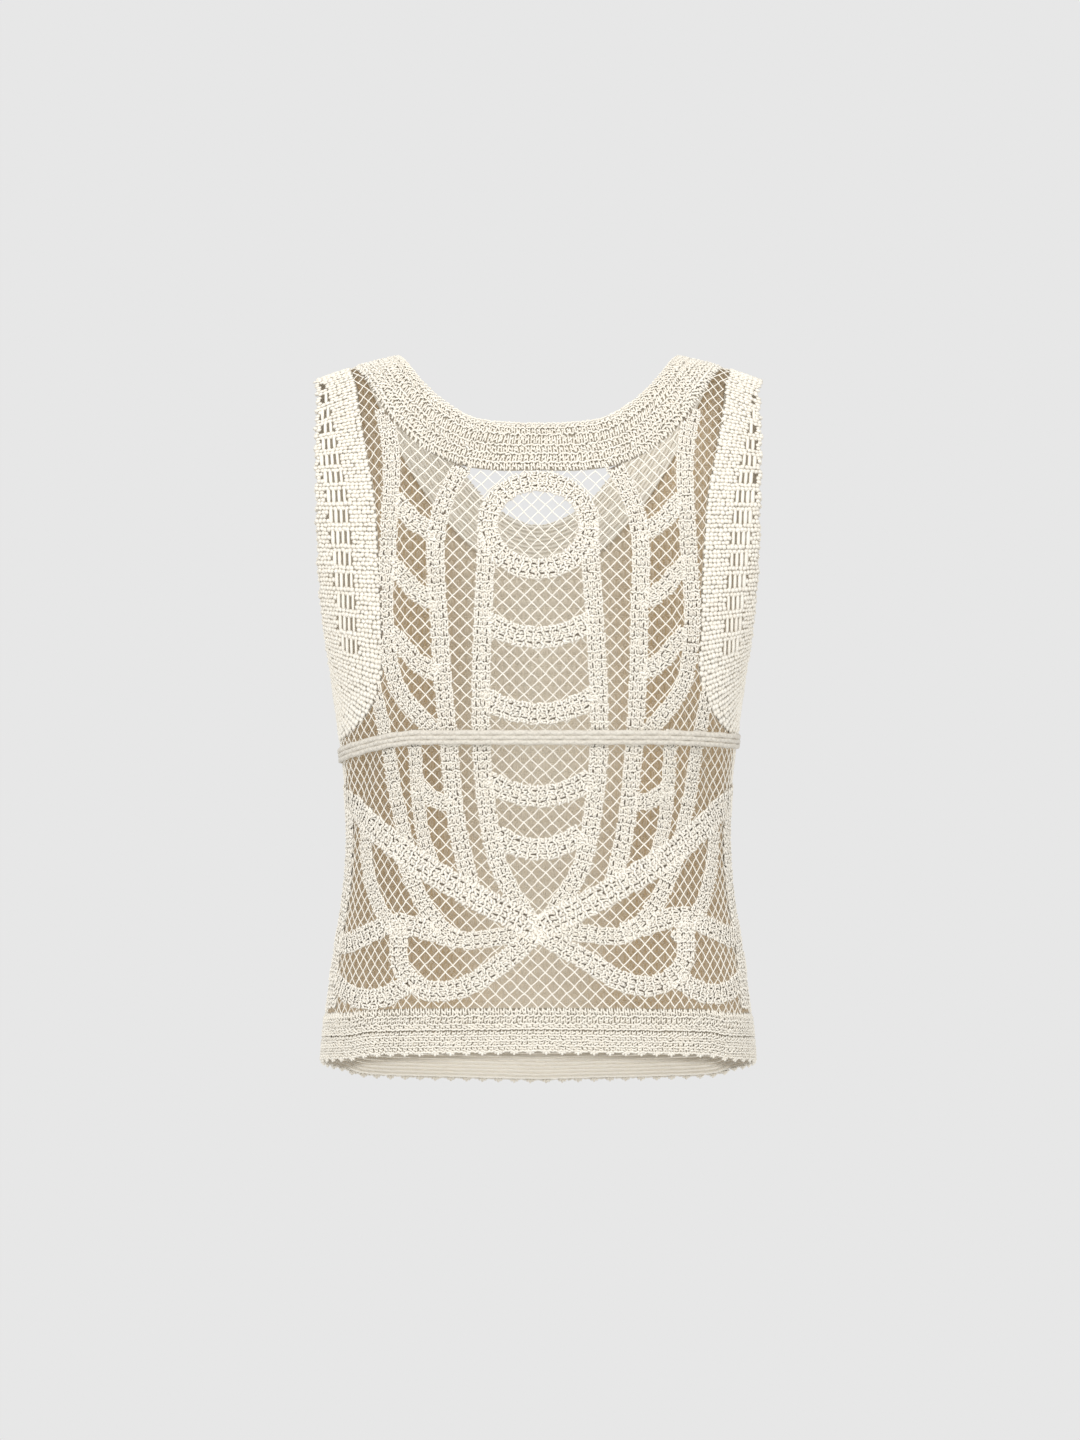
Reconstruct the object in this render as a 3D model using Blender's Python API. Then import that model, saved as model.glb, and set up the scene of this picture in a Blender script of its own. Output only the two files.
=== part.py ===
"""Sleeveless crochet openwork top, worn and hollow.

The lace back faces -Y, the plain front faces +Y, and the shoulder ridge runs along X at height 0.
Each piece is a closed wall of cloth. A place on the cloth is given in a flat chart of its side:
across is the distance from the centre line along a level ring, and fall is the distance down the
cloth from the shoulder ridge. The function place turns the chart into the worn form.
"""
import math

import bmesh
import bpy
import numpy as np
from mathutils import Vector
from mathutils.geometry import delaunay_2d_cdt

NAME = "crochet_openwork_top"
MM = 0.001
BACK, FRONT = -1.0, 1.0

# Worn form, from the ridge down: height, half width, back depth, front depth (mm)
SECTIONS = (
    (0, 171, 0, 0),
    (-2, 171.2, 11, 11),
    (-8, 172.5, 22, 22),
    (-20, 176, 34, 34.5),
    (-40, 179.5, 47, 48),
    (-70, 182, 60, 63),
    (-110, 181, 72, 78),
    (-150, 176, 80, 90),
    (-200, 166, 86.5, 102),
    (-250, 154.5, 88, 106),
    (-300, 148, 84, 99),
    (-350, 143.5, 81, 92),
    (-400, 145.5, 84, 92),
    (-450, 153, 92, 98),
    (-500, 160.5, 98, 104),
    (-540, 163.5, 100, 106),
    (-600, 165, 101, 107),
)
RING_POWER = 2.3
SHOULDER_DROP = 20.0
SHOULDER_START = 95.0
SHOULDER_SPAN = 76.0
SHOULDER_REACH = 120.0

# Soft troughs where the worn cloth gives: side, across, fall, half length, half width, depth, lean
FOLDS = (
    (BACK, 138, 352, 34, 9, 2.2, 0.35),
    (BACK, -141, 346, 40, 10, 2.6, -0.30),
    (BACK, 96, 536, 26, 11, 2.4, 0.10),
    (BACK, -118, 530, 30, 12, 3.0, -0.15),
    (BACK, 38, 540, 22, 10, 1.6, 0.05),
    (FRONT, 134, 330, 42, 10, 3.0, 0.40),
    (FRONT, -130, 338, 38, 11, 2.6, -0.35),
    (FRONT, 70, 540, 34, 12, 2.8, 0.10),
    (FRONT, -52, 548, 30, 11, 2.2, -0.05),
)

# Neckband, centre of the neck to the ridge: edge across, edge fall, seam across, seam fall
NECK_BACK = (
    (0, 79, 0, 117),
    (26, 78, 33, 117),
    (49, 74, 60, 112.5),
    (72, 59, 84.5, 100.5),
    (89, 39, 107, 78.5),
    (100, 17, 127, 39),
    (105, 0, 138, 0),
)
NECK_FRONT = (
    (0, 158, 0, 196),
    (32, 145, 40, 183),
    (56, 118, 74, 150),
    (76, 84, 102, 107),
    (91, 51, 120, 63),
    (100, 23, 131, 28),
    (105, 0, 138, 0),
)
# Armhole band, ridge to underarm: edge from the side line, edge fall, seam from it, seam fall
ARMHOLE = (
    (3, 0, 29, 0),
    (19, 46, 51, 44),
    (31, 90, 73, 92),
    (38, 140, 88, 140),
    (36, 186, 91, 188),
    (27, 230, 87, 236),
    (15, 264, 75, 283),
    (7, 281, 52, 309),
    (0, 289, 0, 324),
)
# The right armhole band is narrower than the left one by this much, and by less at its ends
ARM_TRIM = 4.5
ARM_TRIM_FULL = 50.0
# Hem band, part of the way from the centre to the side line: share, seam fall, edge fall
HEM_BACK = ((0.0, 524, 556), (0.45, 525, 558), (0.75, 529, 563), (1.0, 531, 565))
HEM_FRONT = ((0.0, 550, 584), (0.45, 547, 581), (0.75, 539, 573), (1.0, 531, 565))
PICOTS = 72
PICOT_DEEP = 3.4
HEM_COLUMNS = PICOTS // 2

# Raised tapes of the lace. Each row gives the left half's tape: name, width, how far the right
# half's tape lies farther out and farther down, then stations as (across, fall).
TAPE_RAISE = 1.8
TAPE_SLOPE = 1.0
RAILS = (
    ("diagonal", 17, 0, 0, (182, 366), (150, 376), (131, 388), (96, 412), (48, 440), (0, 465)),
    ("swoop", 15, 0, -4, (0, 467), (33, 495), (60, 510), (84, 511), (104, 496), (107, 468)),
    ("column_rail", 13.5, 3, 0, (38, 160), (42, 250), (43, 296), (39, 369), (29, 418), (4, 463)),
    ("inner_rail", 13.5, 5, 0, (56, 112), (70, 140), (73.5, 248), (67, 326), (61, 386), (50, 436)),
    ("outer_rail", 13, 4, 0, (116, 66), (111, 100), (113, 168), (116, 234), (108, 281), (78, 318)),
    ("leaf_side", 10.5, 7, 0, (94, 318), (93, 338), (91, 368), (88, 391), (78, 420)),
    ("leaf_bar", 12.5, 7, 0, (92, 358), (78, 368), (63, 370)),
    ("short_rail", 11.5, 8, 0, (129, 278), (121, 308), (114, 338), (111, 357), (98, 410)),
    ("petal", 13, 4, -3, (30, 471), (62, 472), (82, 453), (97, 426), (106, 404)),
    ("side_petal", 12.5, 3, 0, (138, 377), (139, 401), (133, 430), (124, 449), (104, 472)),
    ("side_rail", 20, 0, 0, (172, 366), (168, 392), (169, 428), (176, 461), (181, 489), (181, 522)),
    ("upper_sweep", 15, 0, -4.5, (190, 472), (159, 477), (136, 474), (106, 457)),
    ("lower_sweep", 15, 0, -3, (192, 494), (168, 508), (146, 517), (126, 518), (98, 506)),
)
# The shifts set in over this stretch of fall, and over this distance from the centre line
SHIFT_FROM, SHIFT_TO, SHIFT_ACROSS = 200.0, 320.0, 30.0
# Rungs between the two rails: fall at the outer rail, then stations as (across, share of the drop)
RUNGS = (135, 188, 241)
RUNG_WIDTH, RUNG_DROP = 14.0, 31.0
RUNG_STATIONS = ((113, 0), (103, 0.34), (92, 0.74), (76, 1))
# Arcs across the centre column: fall in the middle, half width, rise at the ends
ARC_WIDTH = 16.0
ARCS = ((246, 41, 14), (303, 43, 14), (365, 39, 13), (405, 32, 12))
RING_WIDTH, RING_FALL, RING_ACROSS, RING_TALL = 15.5, 160.0, 38.0, 34.0

# Cord tied round the waist: fall at the centre and at each side line, level share of the half
CORD_MID, CORD_RIGHT, CORD_LEFT, CORD_LEVEL = 320.5, 324.0, 335.0, 0.45
CORD_WIDTH, CORD_THICK, CORD_CLEAR = 11.0, 2.2, 0.45

# Walls, outward and inward of the middle surface (mm)
NET_OUT, NET_IN = 0.7, -0.8
FRONT_OUT, FRONT_IN = 1.1, -1.1
BAND_OUT, BAND_IN = 1.6, -1.0
SEAM_GAP = 0.3

# Spacing of points (mm)
SEAM_STEP = 10.0
TAPE_STEP = 13.0
NET_STEP = 14.0
FRONT_STEP = 19.0
# A tape's edge point that lies deeper than this in another tape is left out
TAPE_SUNK = 0.6
# Points inside a panel keep this far from its outline, and grid points this share of their step
EDGE_CLEAR = 2.4
GRID_CLEAR = 0.4
# Rows of the staggered grid lie this share of a step apart
ROW_SHARE = 0.87

COTTON = {
    "lace_back": ((0.77, 0.71, 0.61), 0.88),
    "plain_front": ((0.75, 0.69, 0.58), 0.9),
    "edging": ((0.79, 0.74, 0.65), 0.88),
    "cord": ((0.76, 0.71, 0.62), 0.85),
}


def smooth(rows, per_row, before=None, after=None, key=None):
    """Rows of a table joined by a smooth curve whose slope at a row is the mean of both sides'."""
    rows = np.array(rows, float)
    first = 2 * rows[0] - rows[1] if before is None else np.array(before, float)
    last = 2 * rows[-1] - rows[-2] if after is None else np.array(after, float)
    rows = np.vstack([first, rows, last])
    marks = rows if key is None else key(rows)
    gap = np.linalg.norm(np.diff(marks, axis=0), axis=1)[:, None]
    rise = np.diff(rows, axis=0) / gap
    slope = (rise[:-1] * gap[1:] + rise[1:] * gap[:-1]) / (gap[:-1] + gap[1:])
    t = np.linspace(0, 1, per_row, endpoint=False)[:, None]
    pieces = []
    for i in range(len(slope) - 1):
        start, end, length = rows[i + 1], rows[i + 2], gap[i + 1]
        pieces.append(
            (2 * t**3 - 3 * t**2 + 1) * start
            + (t**3 - 2 * t**2 + t) * slope[i] * length
            + (3 * t**2 - 2 * t**3) * end
            + (t**3 - t**2) * slope[i + 1] * length
        )
    pieces.append(rows[-2:-1])
    return np.vstack(pieces)


def level_and_depth(rows):
    """Height and mean depth, which measure how far down the cloth a row of SECTIONS lies."""
    return np.column_stack([rows[:, 0], rows[:, 2:].mean(1)])


FORM = smooth(SECTIONS, 24, before=(-2, 171.2, -11, -11), key=level_and_depth)
STEPS = np.linalg.norm(np.diff(level_and_depth(FORM), axis=0), axis=1)
FALL = np.concatenate([[0], STEPS.cumsum()])
TURN = np.linspace(0, math.pi / 2, 161)
RING_X = np.sin(TURN) ** (2 / RING_POWER)
RING_Y = np.cos(TURN) ** (2 / RING_POWER)


def rings(side, fall):
    """A quarter ring for each point: x, y, arc length from the centre line, and height."""
    height, width = (np.interp(fall, FALL, FORM[:, k]) for k in (0, 1))
    depth = np.where(
        side < 0, np.interp(fall, FALL, FORM[:, 2]), np.interp(fall, FALL, FORM[:, 3])
    )
    x = width[:, None] * RING_X
    y = depth[:, None] * RING_Y
    arc = np.hypot(np.diff(x, axis=1), np.diff(y, axis=1)).cumsum(1)
    return x, y, np.hstack([np.zeros((len(x), 1)), arc]), height


def side_line(side, fall):
    """Distance across from the centre line to the side line."""
    fall = np.atleast_1d(np.asarray(fall, float))
    return rings(np.full(len(fall), side), fall)[2][:, -1]


def middle_surface(side, across, fall):
    """The worn form without thickness; beyond the ridge or the side line lies the other side."""
    side = np.where(fall < 0, -side, side)
    fall = np.abs(fall)
    x, y, arc, height = rings(side, fall)
    over = np.abs(across) - arc[:, -1]
    far = over > 0
    if far.any():
        fx, fy, farc, _ = rings(-side[far], fall[far])
        x[far], y[far], arc[far] = fx, fy, farc
        side = np.where(far, -side, side)
    reach = np.abs(across)
    reach[far] = arc[far, -1] - over[far]
    after = np.clip((arc < reach[:, None]).sum(1), 1, len(TURN) - 1)
    row = np.arange(len(x))
    share = (reach - arc[row, after - 1]) / (arc[row, after] - arc[row, after - 1])
    px = x[row, after - 1] + share * (x[row, after] - x[row, after - 1])
    py = y[row, after - 1] + share * (y[row, after] - y[row, after - 1])
    fade = np.clip(1 + height / SHOULDER_REACH, 0, 1)
    slope = np.clip((px - SHOULDER_START) / SHOULDER_SPAN, 0, None) ** 1.4
    height = height - SHOULDER_DROP * slope * fade**2 * (3 - 2 * fade)
    return np.column_stack([np.sign(across) * px, side * py, height])


def trough(side, across, fall):
    """How far the folds take the cloth inward: a soft hollow along a leaning line for each row."""
    total = np.zeros(len(across))
    for fold_side, at, low, length, width, depth, lean in FOLDS:
        along = fall - low
        beside = across - at - lean * along
        shape = np.exp(-((along / length) ** 2) - (beside / width) ** 2)
        total += np.where(side == fold_side, depth * shape, 0)
    return total


def place(side, across, fall, out):
    """Points of the cloth in metres, moved outward by out (mm)."""
    side, across, fall, out = (
        np.array(v, float).ravel() for v in np.broadcast_arrays(side, across, fall, out)
    )
    reach = 3.0
    along = middle_surface(side, across + reach, fall) - middle_surface(side, across - reach, fall)
    down = middle_surface(side, across, fall + reach) - middle_surface(side, across, fall - reach)
    normal = np.cross(along, down) * side[:, None]
    normal /= np.linalg.norm(normal, axis=1)[:, None]
    lift = (out - trough(side, across, fall))[:, None]
    return (middle_surface(side, across, fall) + normal * lift) * MM


def spread(line, step):
    """A polyline cut again into equal lengths of about step."""
    length = np.concatenate([[0], np.linalg.norm(np.diff(line, axis=0), axis=1).cumsum()])
    count = max(2, int(round(length[-1] / step)) + 1)
    where = np.linspace(0, length[-1], count)
    return np.column_stack([np.interp(where, length, line[:, k]) for k in range(line.shape[1])])


def band_rows(table, step, start_turn, end_turn):
    """Rows across a band, spaced by the seam's length; a turn mirrors the rows past an end."""
    before = np.array(table[1], float) * start_turn
    after = np.array(table[-2], float) * end_turn
    line = smooth(table, 16, before, after)
    length = np.concatenate([[0], np.linalg.norm(np.diff(line[:, 2:], axis=0), axis=1).cumsum()])
    count = int(round(length[-1] / step)) + 1
    where = np.linspace(0, length[-1], count)
    return np.column_stack([np.interp(where, length, line[:, k]) for k in range(4)])


def neck_rows(table):
    """Neckband rows of one side, centre to ridge."""
    return band_rows(table, SEAM_STEP, (-1, 1, -1, 1), (1, -1, 1, -1))


def armhole_rows(side, trim):
    """Armhole band rows of one side in the chart, ridge to underarm, its seam moved by trim."""
    rows = band_rows(ARMHOLE, SEAM_STEP, (1, -1, 1, -1), (-1, 1, -1, 1))
    rows[:, 2] -= trim * np.clip(rows[:, 2] / ARM_TRIM_FULL, 0, 1)
    rows[:, 0] = side_line(side, rows[:, 1]) - rows[:, 0]
    rows[:, 2] = side_line(side, rows[:, 3]) - rows[:, 2]
    return rows


def hem_rows(side, table, count):
    """Hem band rows of one side, centre to side line: edge point and seam point."""
    share = np.linspace(0, 1, count)
    line = smooth(table, 16)
    seam = np.interp(share, line[:, 0], line[:, 1])
    edge = np.interp(share, line[:, 0], line[:, 2])
    return np.column_stack(
        [share * side_line(side, edge), edge, share * side_line(side, seam), seam]
    )


def inset(loop, amount):
    """A counter-clockwise loop moved inward by amount."""
    ahead = np.roll(loop, -1, axis=0) - loop
    ahead /= np.linalg.norm(ahead, axis=1)[:, None]
    behind = np.roll(ahead, 1, axis=0)
    inward = np.column_stack([-ahead[:, 1], ahead[:, 0]])
    both = inward + np.column_stack([-behind[:, 1], behind[:, 0]])
    both /= np.linalg.norm(both, axis=1)[:, None]
    lean = np.clip((both * inward).sum(1), 0.4, 1)
    return loop + both * (amount / lean)[:, None]


def half_outline(side, neck_table, hem_table, trim):
    """Outline of a panel's half from the neck's centre round to the hem's centre."""
    neck = neck_rows(neck_table)[:, 2:]
    arm = armhole_rows(side, trim)[:, 2:]
    arm[-1, 0] = side_line(side, arm[-1, 1])[0]
    hem = hem_rows(side, hem_table, HEM_COLUMNS + 1)[::2, 2:][::-1]
    falls = spread(np.column_stack([np.zeros(2), [arm[-1, 1], hem[0, 1]]]), SEAM_STEP)[1:-1, 1]
    seam = np.column_stack([side_line(side, falls), falls])
    return np.vstack([neck, arm, seam, hem])


def panel_outline(side, neck_table, hem_table):
    """Outline of a panel in its chart, counter-clockwise with fall as the second axis."""
    right = half_outline(side, neck_table, hem_table, ARM_TRIM)
    left = half_outline(side, neck_table, hem_table, 0)[1:-1]
    return np.vstack([right, left[::-1] * (-1, 1)])


def inside(points, loop):
    """Whether each point lies inside the loop, by crossings of a line to the right."""
    a, b = loop, np.roll(loop, -1, axis=0)
    x, y = points[:, 0, None], points[:, 1, None]
    cross = (a[:, 1] > y) != (b[:, 1] > y)
    level = np.where(b[:, 1] == a[:, 1], 1, b[:, 1] - a[:, 1])
    at = a[:, 0] + (y - a[:, 1]) / level * (b[:, 0] - a[:, 0])
    return (cross & (x < at)).sum(1) % 2 == 1


def distance(points, starts, ends):
    """Distance from each point to the nearest of the segments."""
    best = np.full(len(points), np.inf)
    for start, end in zip(starts, ends):
        way = end - start
        share = np.clip((points - start) @ way / (way @ way), 0, 1)[:, None]
        best = np.minimum(best, np.linalg.norm(points - start - share * way, axis=1))
    return best


def depth_in(points, tapes):
    """How deep each point lies inside the nearest tape's edge; below zero outside all tapes."""
    return np.max([width / 2 - distance(points, t[:-1], t[1:]) for width, t in tapes], axis=0)


def tape_lines():
    """Width and centre line of each tape of the lace, both halves."""
    tapes = []
    for _, width, out, down, *stations in RAILS:
        line = smooth(stations, 12)
        share = np.clip((line[:, 1] - SHIFT_FROM) / (SHIFT_TO - SHIFT_FROM), 0, 1)
        share = share * np.clip(line[:, 0] / SHIFT_ACROSS, 0, 1)
        tapes.append((width, line + share[:, None] * (out, down)))
        tapes.append((width, line * (-1, 1)))
    for fall in RUNGS:
        line = smooth([(x, fall + share * RUNG_DROP) for x, share in RUNG_STATIONS], 12)
        tapes += [(RUNG_WIDTH, line), (RUNG_WIDTH, line * (-1, 1))]
    for fall, width, rise in ARCS:
        across = np.linspace(-width, width, 25)
        tapes.append((ARC_WIDTH, np.column_stack([across, fall - rise * (across / width) ** 2])))
    turn = np.linspace(0, 2 * math.pi, 49)
    ring = np.column_stack([RING_ACROSS * np.sin(turn), RING_FALL - RING_TALL * np.cos(turn)])
    return tapes + [(RING_WIDTH, ring)]


def tape_points(tapes, loop):
    """Points along both edges of each tape and the chart's edges that join them."""
    loop_ends = np.roll(loop, -1, axis=0)
    points, edges = np.empty((0, 2)), []
    for width, line in tapes:
        half = width / 2
        line = spread(line, TAPE_STEP)
        way = np.gradient(line, axis=0)
        way /= np.linalg.norm(way, axis=1)[:, None]
        beside = np.column_stack([-way[:, 1], way[:, 0]])
        for shift in (half, half - TAPE_SLOPE, TAPE_SLOPE - half, -half):
            row = line + beside * shift
            keep = depth_in(row, tapes) < half - abs(shift) + TAPE_SUNK
            keep &= inside(row, loop) & (distance(row, loop, loop_ends) > EDGE_CLEAR)
            last = -2
            for i in np.flatnonzero(keep):
                if len(points) and np.linalg.norm(points - row[i], axis=1).min() < 0.7 * TAPE_SLOPE:
                    continue
                points = np.vstack([points, row[i]])
                if last == i - 1:
                    edges.append((len(points) - 2, len(points) - 1))
                last = i
    return points, edges


def fill_points(loop, taken, step):
    """A staggered grid inside the loop, clear of its edge and of the points already taken."""
    low, high = loop.min(0), loop.max(0)
    rows = np.arange(low[1], high[1], step * ROW_SHARE)
    grid = []
    for i, fall in enumerate(rows):
        shift = 0.5 * step * (i % 2)
        for across in np.arange(shift, high[0], step):
            grid.append((across, fall))
            if across > 0:
                grid.append((-across, fall))
    grid = np.array(grid)
    grid = grid[inside(grid, loop)]
    grid = grid[distance(grid, loop, np.roll(loop, -1, axis=0)) > GRID_CLEAR * step]
    if len(taken):
        near = np.array([np.linalg.norm(taken - p, axis=1).min() for p in grid])
        grid = grid[near > GRID_CLEAR * step]
    return grid


def triangulate(loop, points, edges):
    """Triangles inside the loop through all points; the loop's points come first."""
    ring = len(loop)
    verts = [Vector(p) for p in np.vstack([loop, points])]
    joined = [(a + ring, b + ring) for a, b in edges]
    found = delaunay_2d_cdt(verts, joined, [tuple(range(ring))], 0, 1e-4)
    spots, faces, came_from, owners = found[0], found[2], found[3], found[5]
    order = sorted(range(len(spots)), key=lambda i: min(came_from[i], default=10**6 + i))
    rank = {old: new for new, old in enumerate(order)}
    spots = np.array([tuple(spots[i]) for i in order])
    faces = [tuple(rank[v] for v in face) for face, owner in zip(faces, owners) if owner]
    return spots, faces


def add_object(name, points, faces, slot):
    """A closed mesh object with its own cotton material."""
    mesh = bpy.data.meshes.new(name)
    mesh.from_pydata([tuple(p) for p in points], [], faces)
    work = bmesh.new()
    work.from_mesh(mesh)
    bmesh.ops.recalc_face_normals(work, faces=work.faces)
    work.to_mesh(mesh)
    work.free()
    obj = bpy.data.objects.new(name, mesh)
    parts.objects.link(obj)
    colour, roughness = COTTON[slot]
    material = bpy.data.materials.new(name + "_cotton")
    material.use_nodes = True
    shader = material.node_tree.nodes["Principled BSDF"]
    shader.inputs["Base Color"].default_value = (*colour, 1)
    shader.inputs["Roughness"].default_value = roughness
    mesh.materials.append(material)
    mesh.shade_smooth()
    mesh.set_sharp_from_angle(angle=math.radians(40))
    return obj


def add_panel(name, side, loop, outer, inner, slot, tapes=(), step=FRONT_STEP):
    """A panel's wall: outside with raised tapes, plain inside, closed round its outline."""
    loop = inset(loop, SEAM_GAP / 2)
    points, edges = tape_points(tapes, loop) if tapes else (np.empty((0, 2)), [])
    grid = fill_points(loop, points, step)
    spots, faces = triangulate(loop, np.vstack([points, grid]), edges)
    plain_spots, plain_faces = triangulate(loop, fill_points(loop, (), step), [])
    raise_by = np.zeros(len(spots))
    if tapes:
        raise_by = TAPE_RAISE * np.clip(depth_in(spots, tapes) / TAPE_SLOPE, 0, 1)
    outside = place(side, spots[:, 0], spots[:, 1], outer + raise_by)
    within = place(side, plain_spots[:, 0], plain_spots[:, 1], inner)
    count, ring = len(spots), len(loop)
    walls = [(i, (i + 1) % ring, (i + 1) % ring + count, i + count) for i in range(ring)]
    back_faces = [tuple(v + count for v in face[::-1]) for face in plain_faces]
    add_object(name, np.vstack([outside, within]), faces + back_faces + walls, slot)


def add_ring(name, side, rows, shares, outer, inner, slot, drop=None):
    """A closed band: rows go round it, shares go from its seam to its edge."""
    shares = np.array(shares, float)
    way = rows[:, :2] - rows[:, 2:]
    span = np.linalg.norm(way, axis=1)
    gap = (SEAM_GAP / 2 / span)[:, None]
    share = gap + (1 - gap) * shares[None, :]
    across = rows[:, 2, None] + share * way[:, 0, None]
    fall = rows[:, 3, None] + share * way[:, 1, None]
    if drop is not None:
        fall = fall + drop[:, None] * (shares[None, :] > 0.99)
    sides = np.repeat(side, len(shares))
    outer = np.broadcast_to(np.asarray(outer, float).reshape(-1, 1), across.shape)
    inner = np.broadcast_to(np.asarray(inner, float).reshape(-1, 1), across.shape)
    outside = place(sides, across.ravel(), fall.ravel(), outer.ravel())
    within = place(sides, across.ravel(), fall.ravel(), inner.ravel())
    count, wide = across.size, len(shares)
    faces = []
    for i in range(len(rows)):
        j = (i + 1) % len(rows)
        for k in range(wide - 1):
            a, b, c, d = i * wide + k, j * wide + k, j * wide + k + 1, i * wide + k + 1
            faces.append((a, b, c, d))
            faces.append((a + count, d + count, c + count, b + count))
        for k in (0, wide - 1):
            faces.append((i * wide + k, j * wide + k, j * wide + k + count, i * wide + k + count))
    add_object(name, np.vstack([outside, within]), faces, slot)


def mirrored(rows):
    """Rows of the other half, in reverse order."""
    return rows[::-1] * (-1, 1, -1, 1)


def around(back, front, left_back=None, left_front=None):
    """Rows of a band that goes round the body, from the back's centre over the right side. The
    left half mirrors the right one unless it has rows of its own."""
    left_back = back if left_back is None else left_back
    left_front = front if left_front is None else left_front
    left = [mirrored(left_front[::-1])[1:], mirrored(left_back)[1:-1]]
    rows = np.vstack([back, front[::-1][1:], *left])
    count = len(back)
    side = np.full(len(rows), BACK)
    side[count : count + 2 * len(front) - 2] = FRONT
    return side, rows


def add_neckband():
    """One band round the neck, open in the middle."""
    side, rows = around(neck_rows(NECK_BACK), neck_rows(NECK_FRONT))
    add_ring("neckband", side, rows, (0, 0.33, 0.66, 1), BAND_OUT, BAND_IN, "edging")


def add_armhole_bands():
    """One band round each armhole, over the shoulder and under the arm."""
    for name, sign, trim in (("armhole_band_right", 1, ARM_TRIM), ("armhole_band_left", -1, 0)):
        back, front = armhole_rows(BACK, trim), armhole_rows(FRONT, trim)
        rows = np.vstack([back, front[::-1][1:-1]])
        side = np.full(len(rows), FRONT)
        side[: len(back)] = BACK
        turned = rows * (sign, 1, sign, 1)
        add_ring(name, side, turned, (0, 0.33, 0.66, 1), BAND_OUT, BAND_IN, "edging")


def add_hem_band():
    """One band round the hem, its lower edge in small scallops."""
    back = hem_rows(BACK, HEM_BACK, HEM_COLUMNS + 1)
    front = hem_rows(FRONT, HEM_FRONT, HEM_COLUMNS + 1)
    side, rows = around(back, front)
    drop = PICOT_DEEP * (np.arange(len(rows)) % 2)
    add_ring("hem_band", side, rows, (0, 0.5, 0.88, 1), BAND_OUT, BAND_IN, "edging", drop)


def add_waist_cord():
    """The flat cord lies over the tapes at the back and on the plain front."""
    share = np.linspace(0, 1, 27)
    way = np.clip((share - CORD_LEVEL) / (1 - CORD_LEVEL), 0, 1)
    quarters = []
    for end in (CORD_RIGHT, CORD_LEFT):
        fall = CORD_MID + (end - CORD_MID) * way**2 * (3 - 2 * way)
        low, high = fall + CORD_WIDTH / 2, fall - CORD_WIDTH / 2
        for side in (BACK, FRONT):
            across = share * side_line(side, fall)
            quarters.append(np.column_stack([across, low, across, high]))
    side, rows = around(*quarters)
    inner = NET_OUT + TAPE_RAISE + CORD_CLEAR
    add_ring("waist_cord", side, rows, (0, 0.5, 1), inner + CORD_THICK, inner, "cord")


for obj in list(bpy.data.objects):
    bpy.data.objects.remove(obj, do_unlink=True)
parts = bpy.data.collections.new(NAME)
bpy.context.scene.collection.children.link(parts)

add_panel(
    "back_panel",
    BACK,
    panel_outline(BACK, NECK_BACK, HEM_BACK),
    NET_OUT,
    NET_IN,
    "lace_back",
    tape_lines(),
    NET_STEP,
)
add_panel(
    "front_panel",
    FRONT,
    panel_outline(FRONT, NECK_FRONT, HEM_FRONT),
    FRONT_OUT,
    FRONT_IN,
    "plain_front",
)
add_neckband()
add_armhole_bands()
add_hem_band()
add_waist_cord()
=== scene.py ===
# %% [markdown]
# # A crochet openwork top, worn and hollow
#
# The top is worked in cream cotton. Its back is lace: narrow crochet tapes laid in rails, rungs,
# arcs and petals on a net of knotted diamonds. The front is plain rows. Dense bands finish the
# neck, the armholes and the hem, and a flat cord runs round the waist.
#
# Every stitch here is a small closed body of yarn, laid on the worn form of the solids. The larger
# holes are real, so light and the far side show through them as they do in the cloth. Behind the
# pinholes of the tapes and bands lies a thin sheet painted dark with shade, and shade is painted
# on the undersides of the stitches and on the inside of the front as well.

import math

import bpy
import numpy as np
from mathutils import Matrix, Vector
from mathutils.geometry import delaunay_2d_cdt


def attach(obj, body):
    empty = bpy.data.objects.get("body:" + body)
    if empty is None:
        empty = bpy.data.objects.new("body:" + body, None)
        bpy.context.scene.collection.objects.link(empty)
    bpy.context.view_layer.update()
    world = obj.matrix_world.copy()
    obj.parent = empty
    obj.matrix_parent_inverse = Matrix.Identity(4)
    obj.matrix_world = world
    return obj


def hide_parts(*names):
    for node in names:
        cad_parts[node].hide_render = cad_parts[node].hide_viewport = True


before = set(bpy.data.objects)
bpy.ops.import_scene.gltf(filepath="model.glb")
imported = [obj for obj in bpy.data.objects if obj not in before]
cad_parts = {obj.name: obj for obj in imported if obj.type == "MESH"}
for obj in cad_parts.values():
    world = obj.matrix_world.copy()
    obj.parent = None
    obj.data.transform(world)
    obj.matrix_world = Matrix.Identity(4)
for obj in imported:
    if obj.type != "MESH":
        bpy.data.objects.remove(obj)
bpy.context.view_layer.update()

# %% [markdown]
# ## Sizes
#
# All sizes are millimetres. A place on the cloth is named in a flat chart of its side of the body:
# `across` is the distance from the centre line along a level ring, `fall` the distance down the
# cloth from the shoulder ridge. In the chart stitches keep their true size, also where the cloth
# turns round the side. The numbers are the solids', but for small changes to some tapes.

# %% Sizes and tables
MM = 0.001
BACK, FRONT = -1, 1

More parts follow.
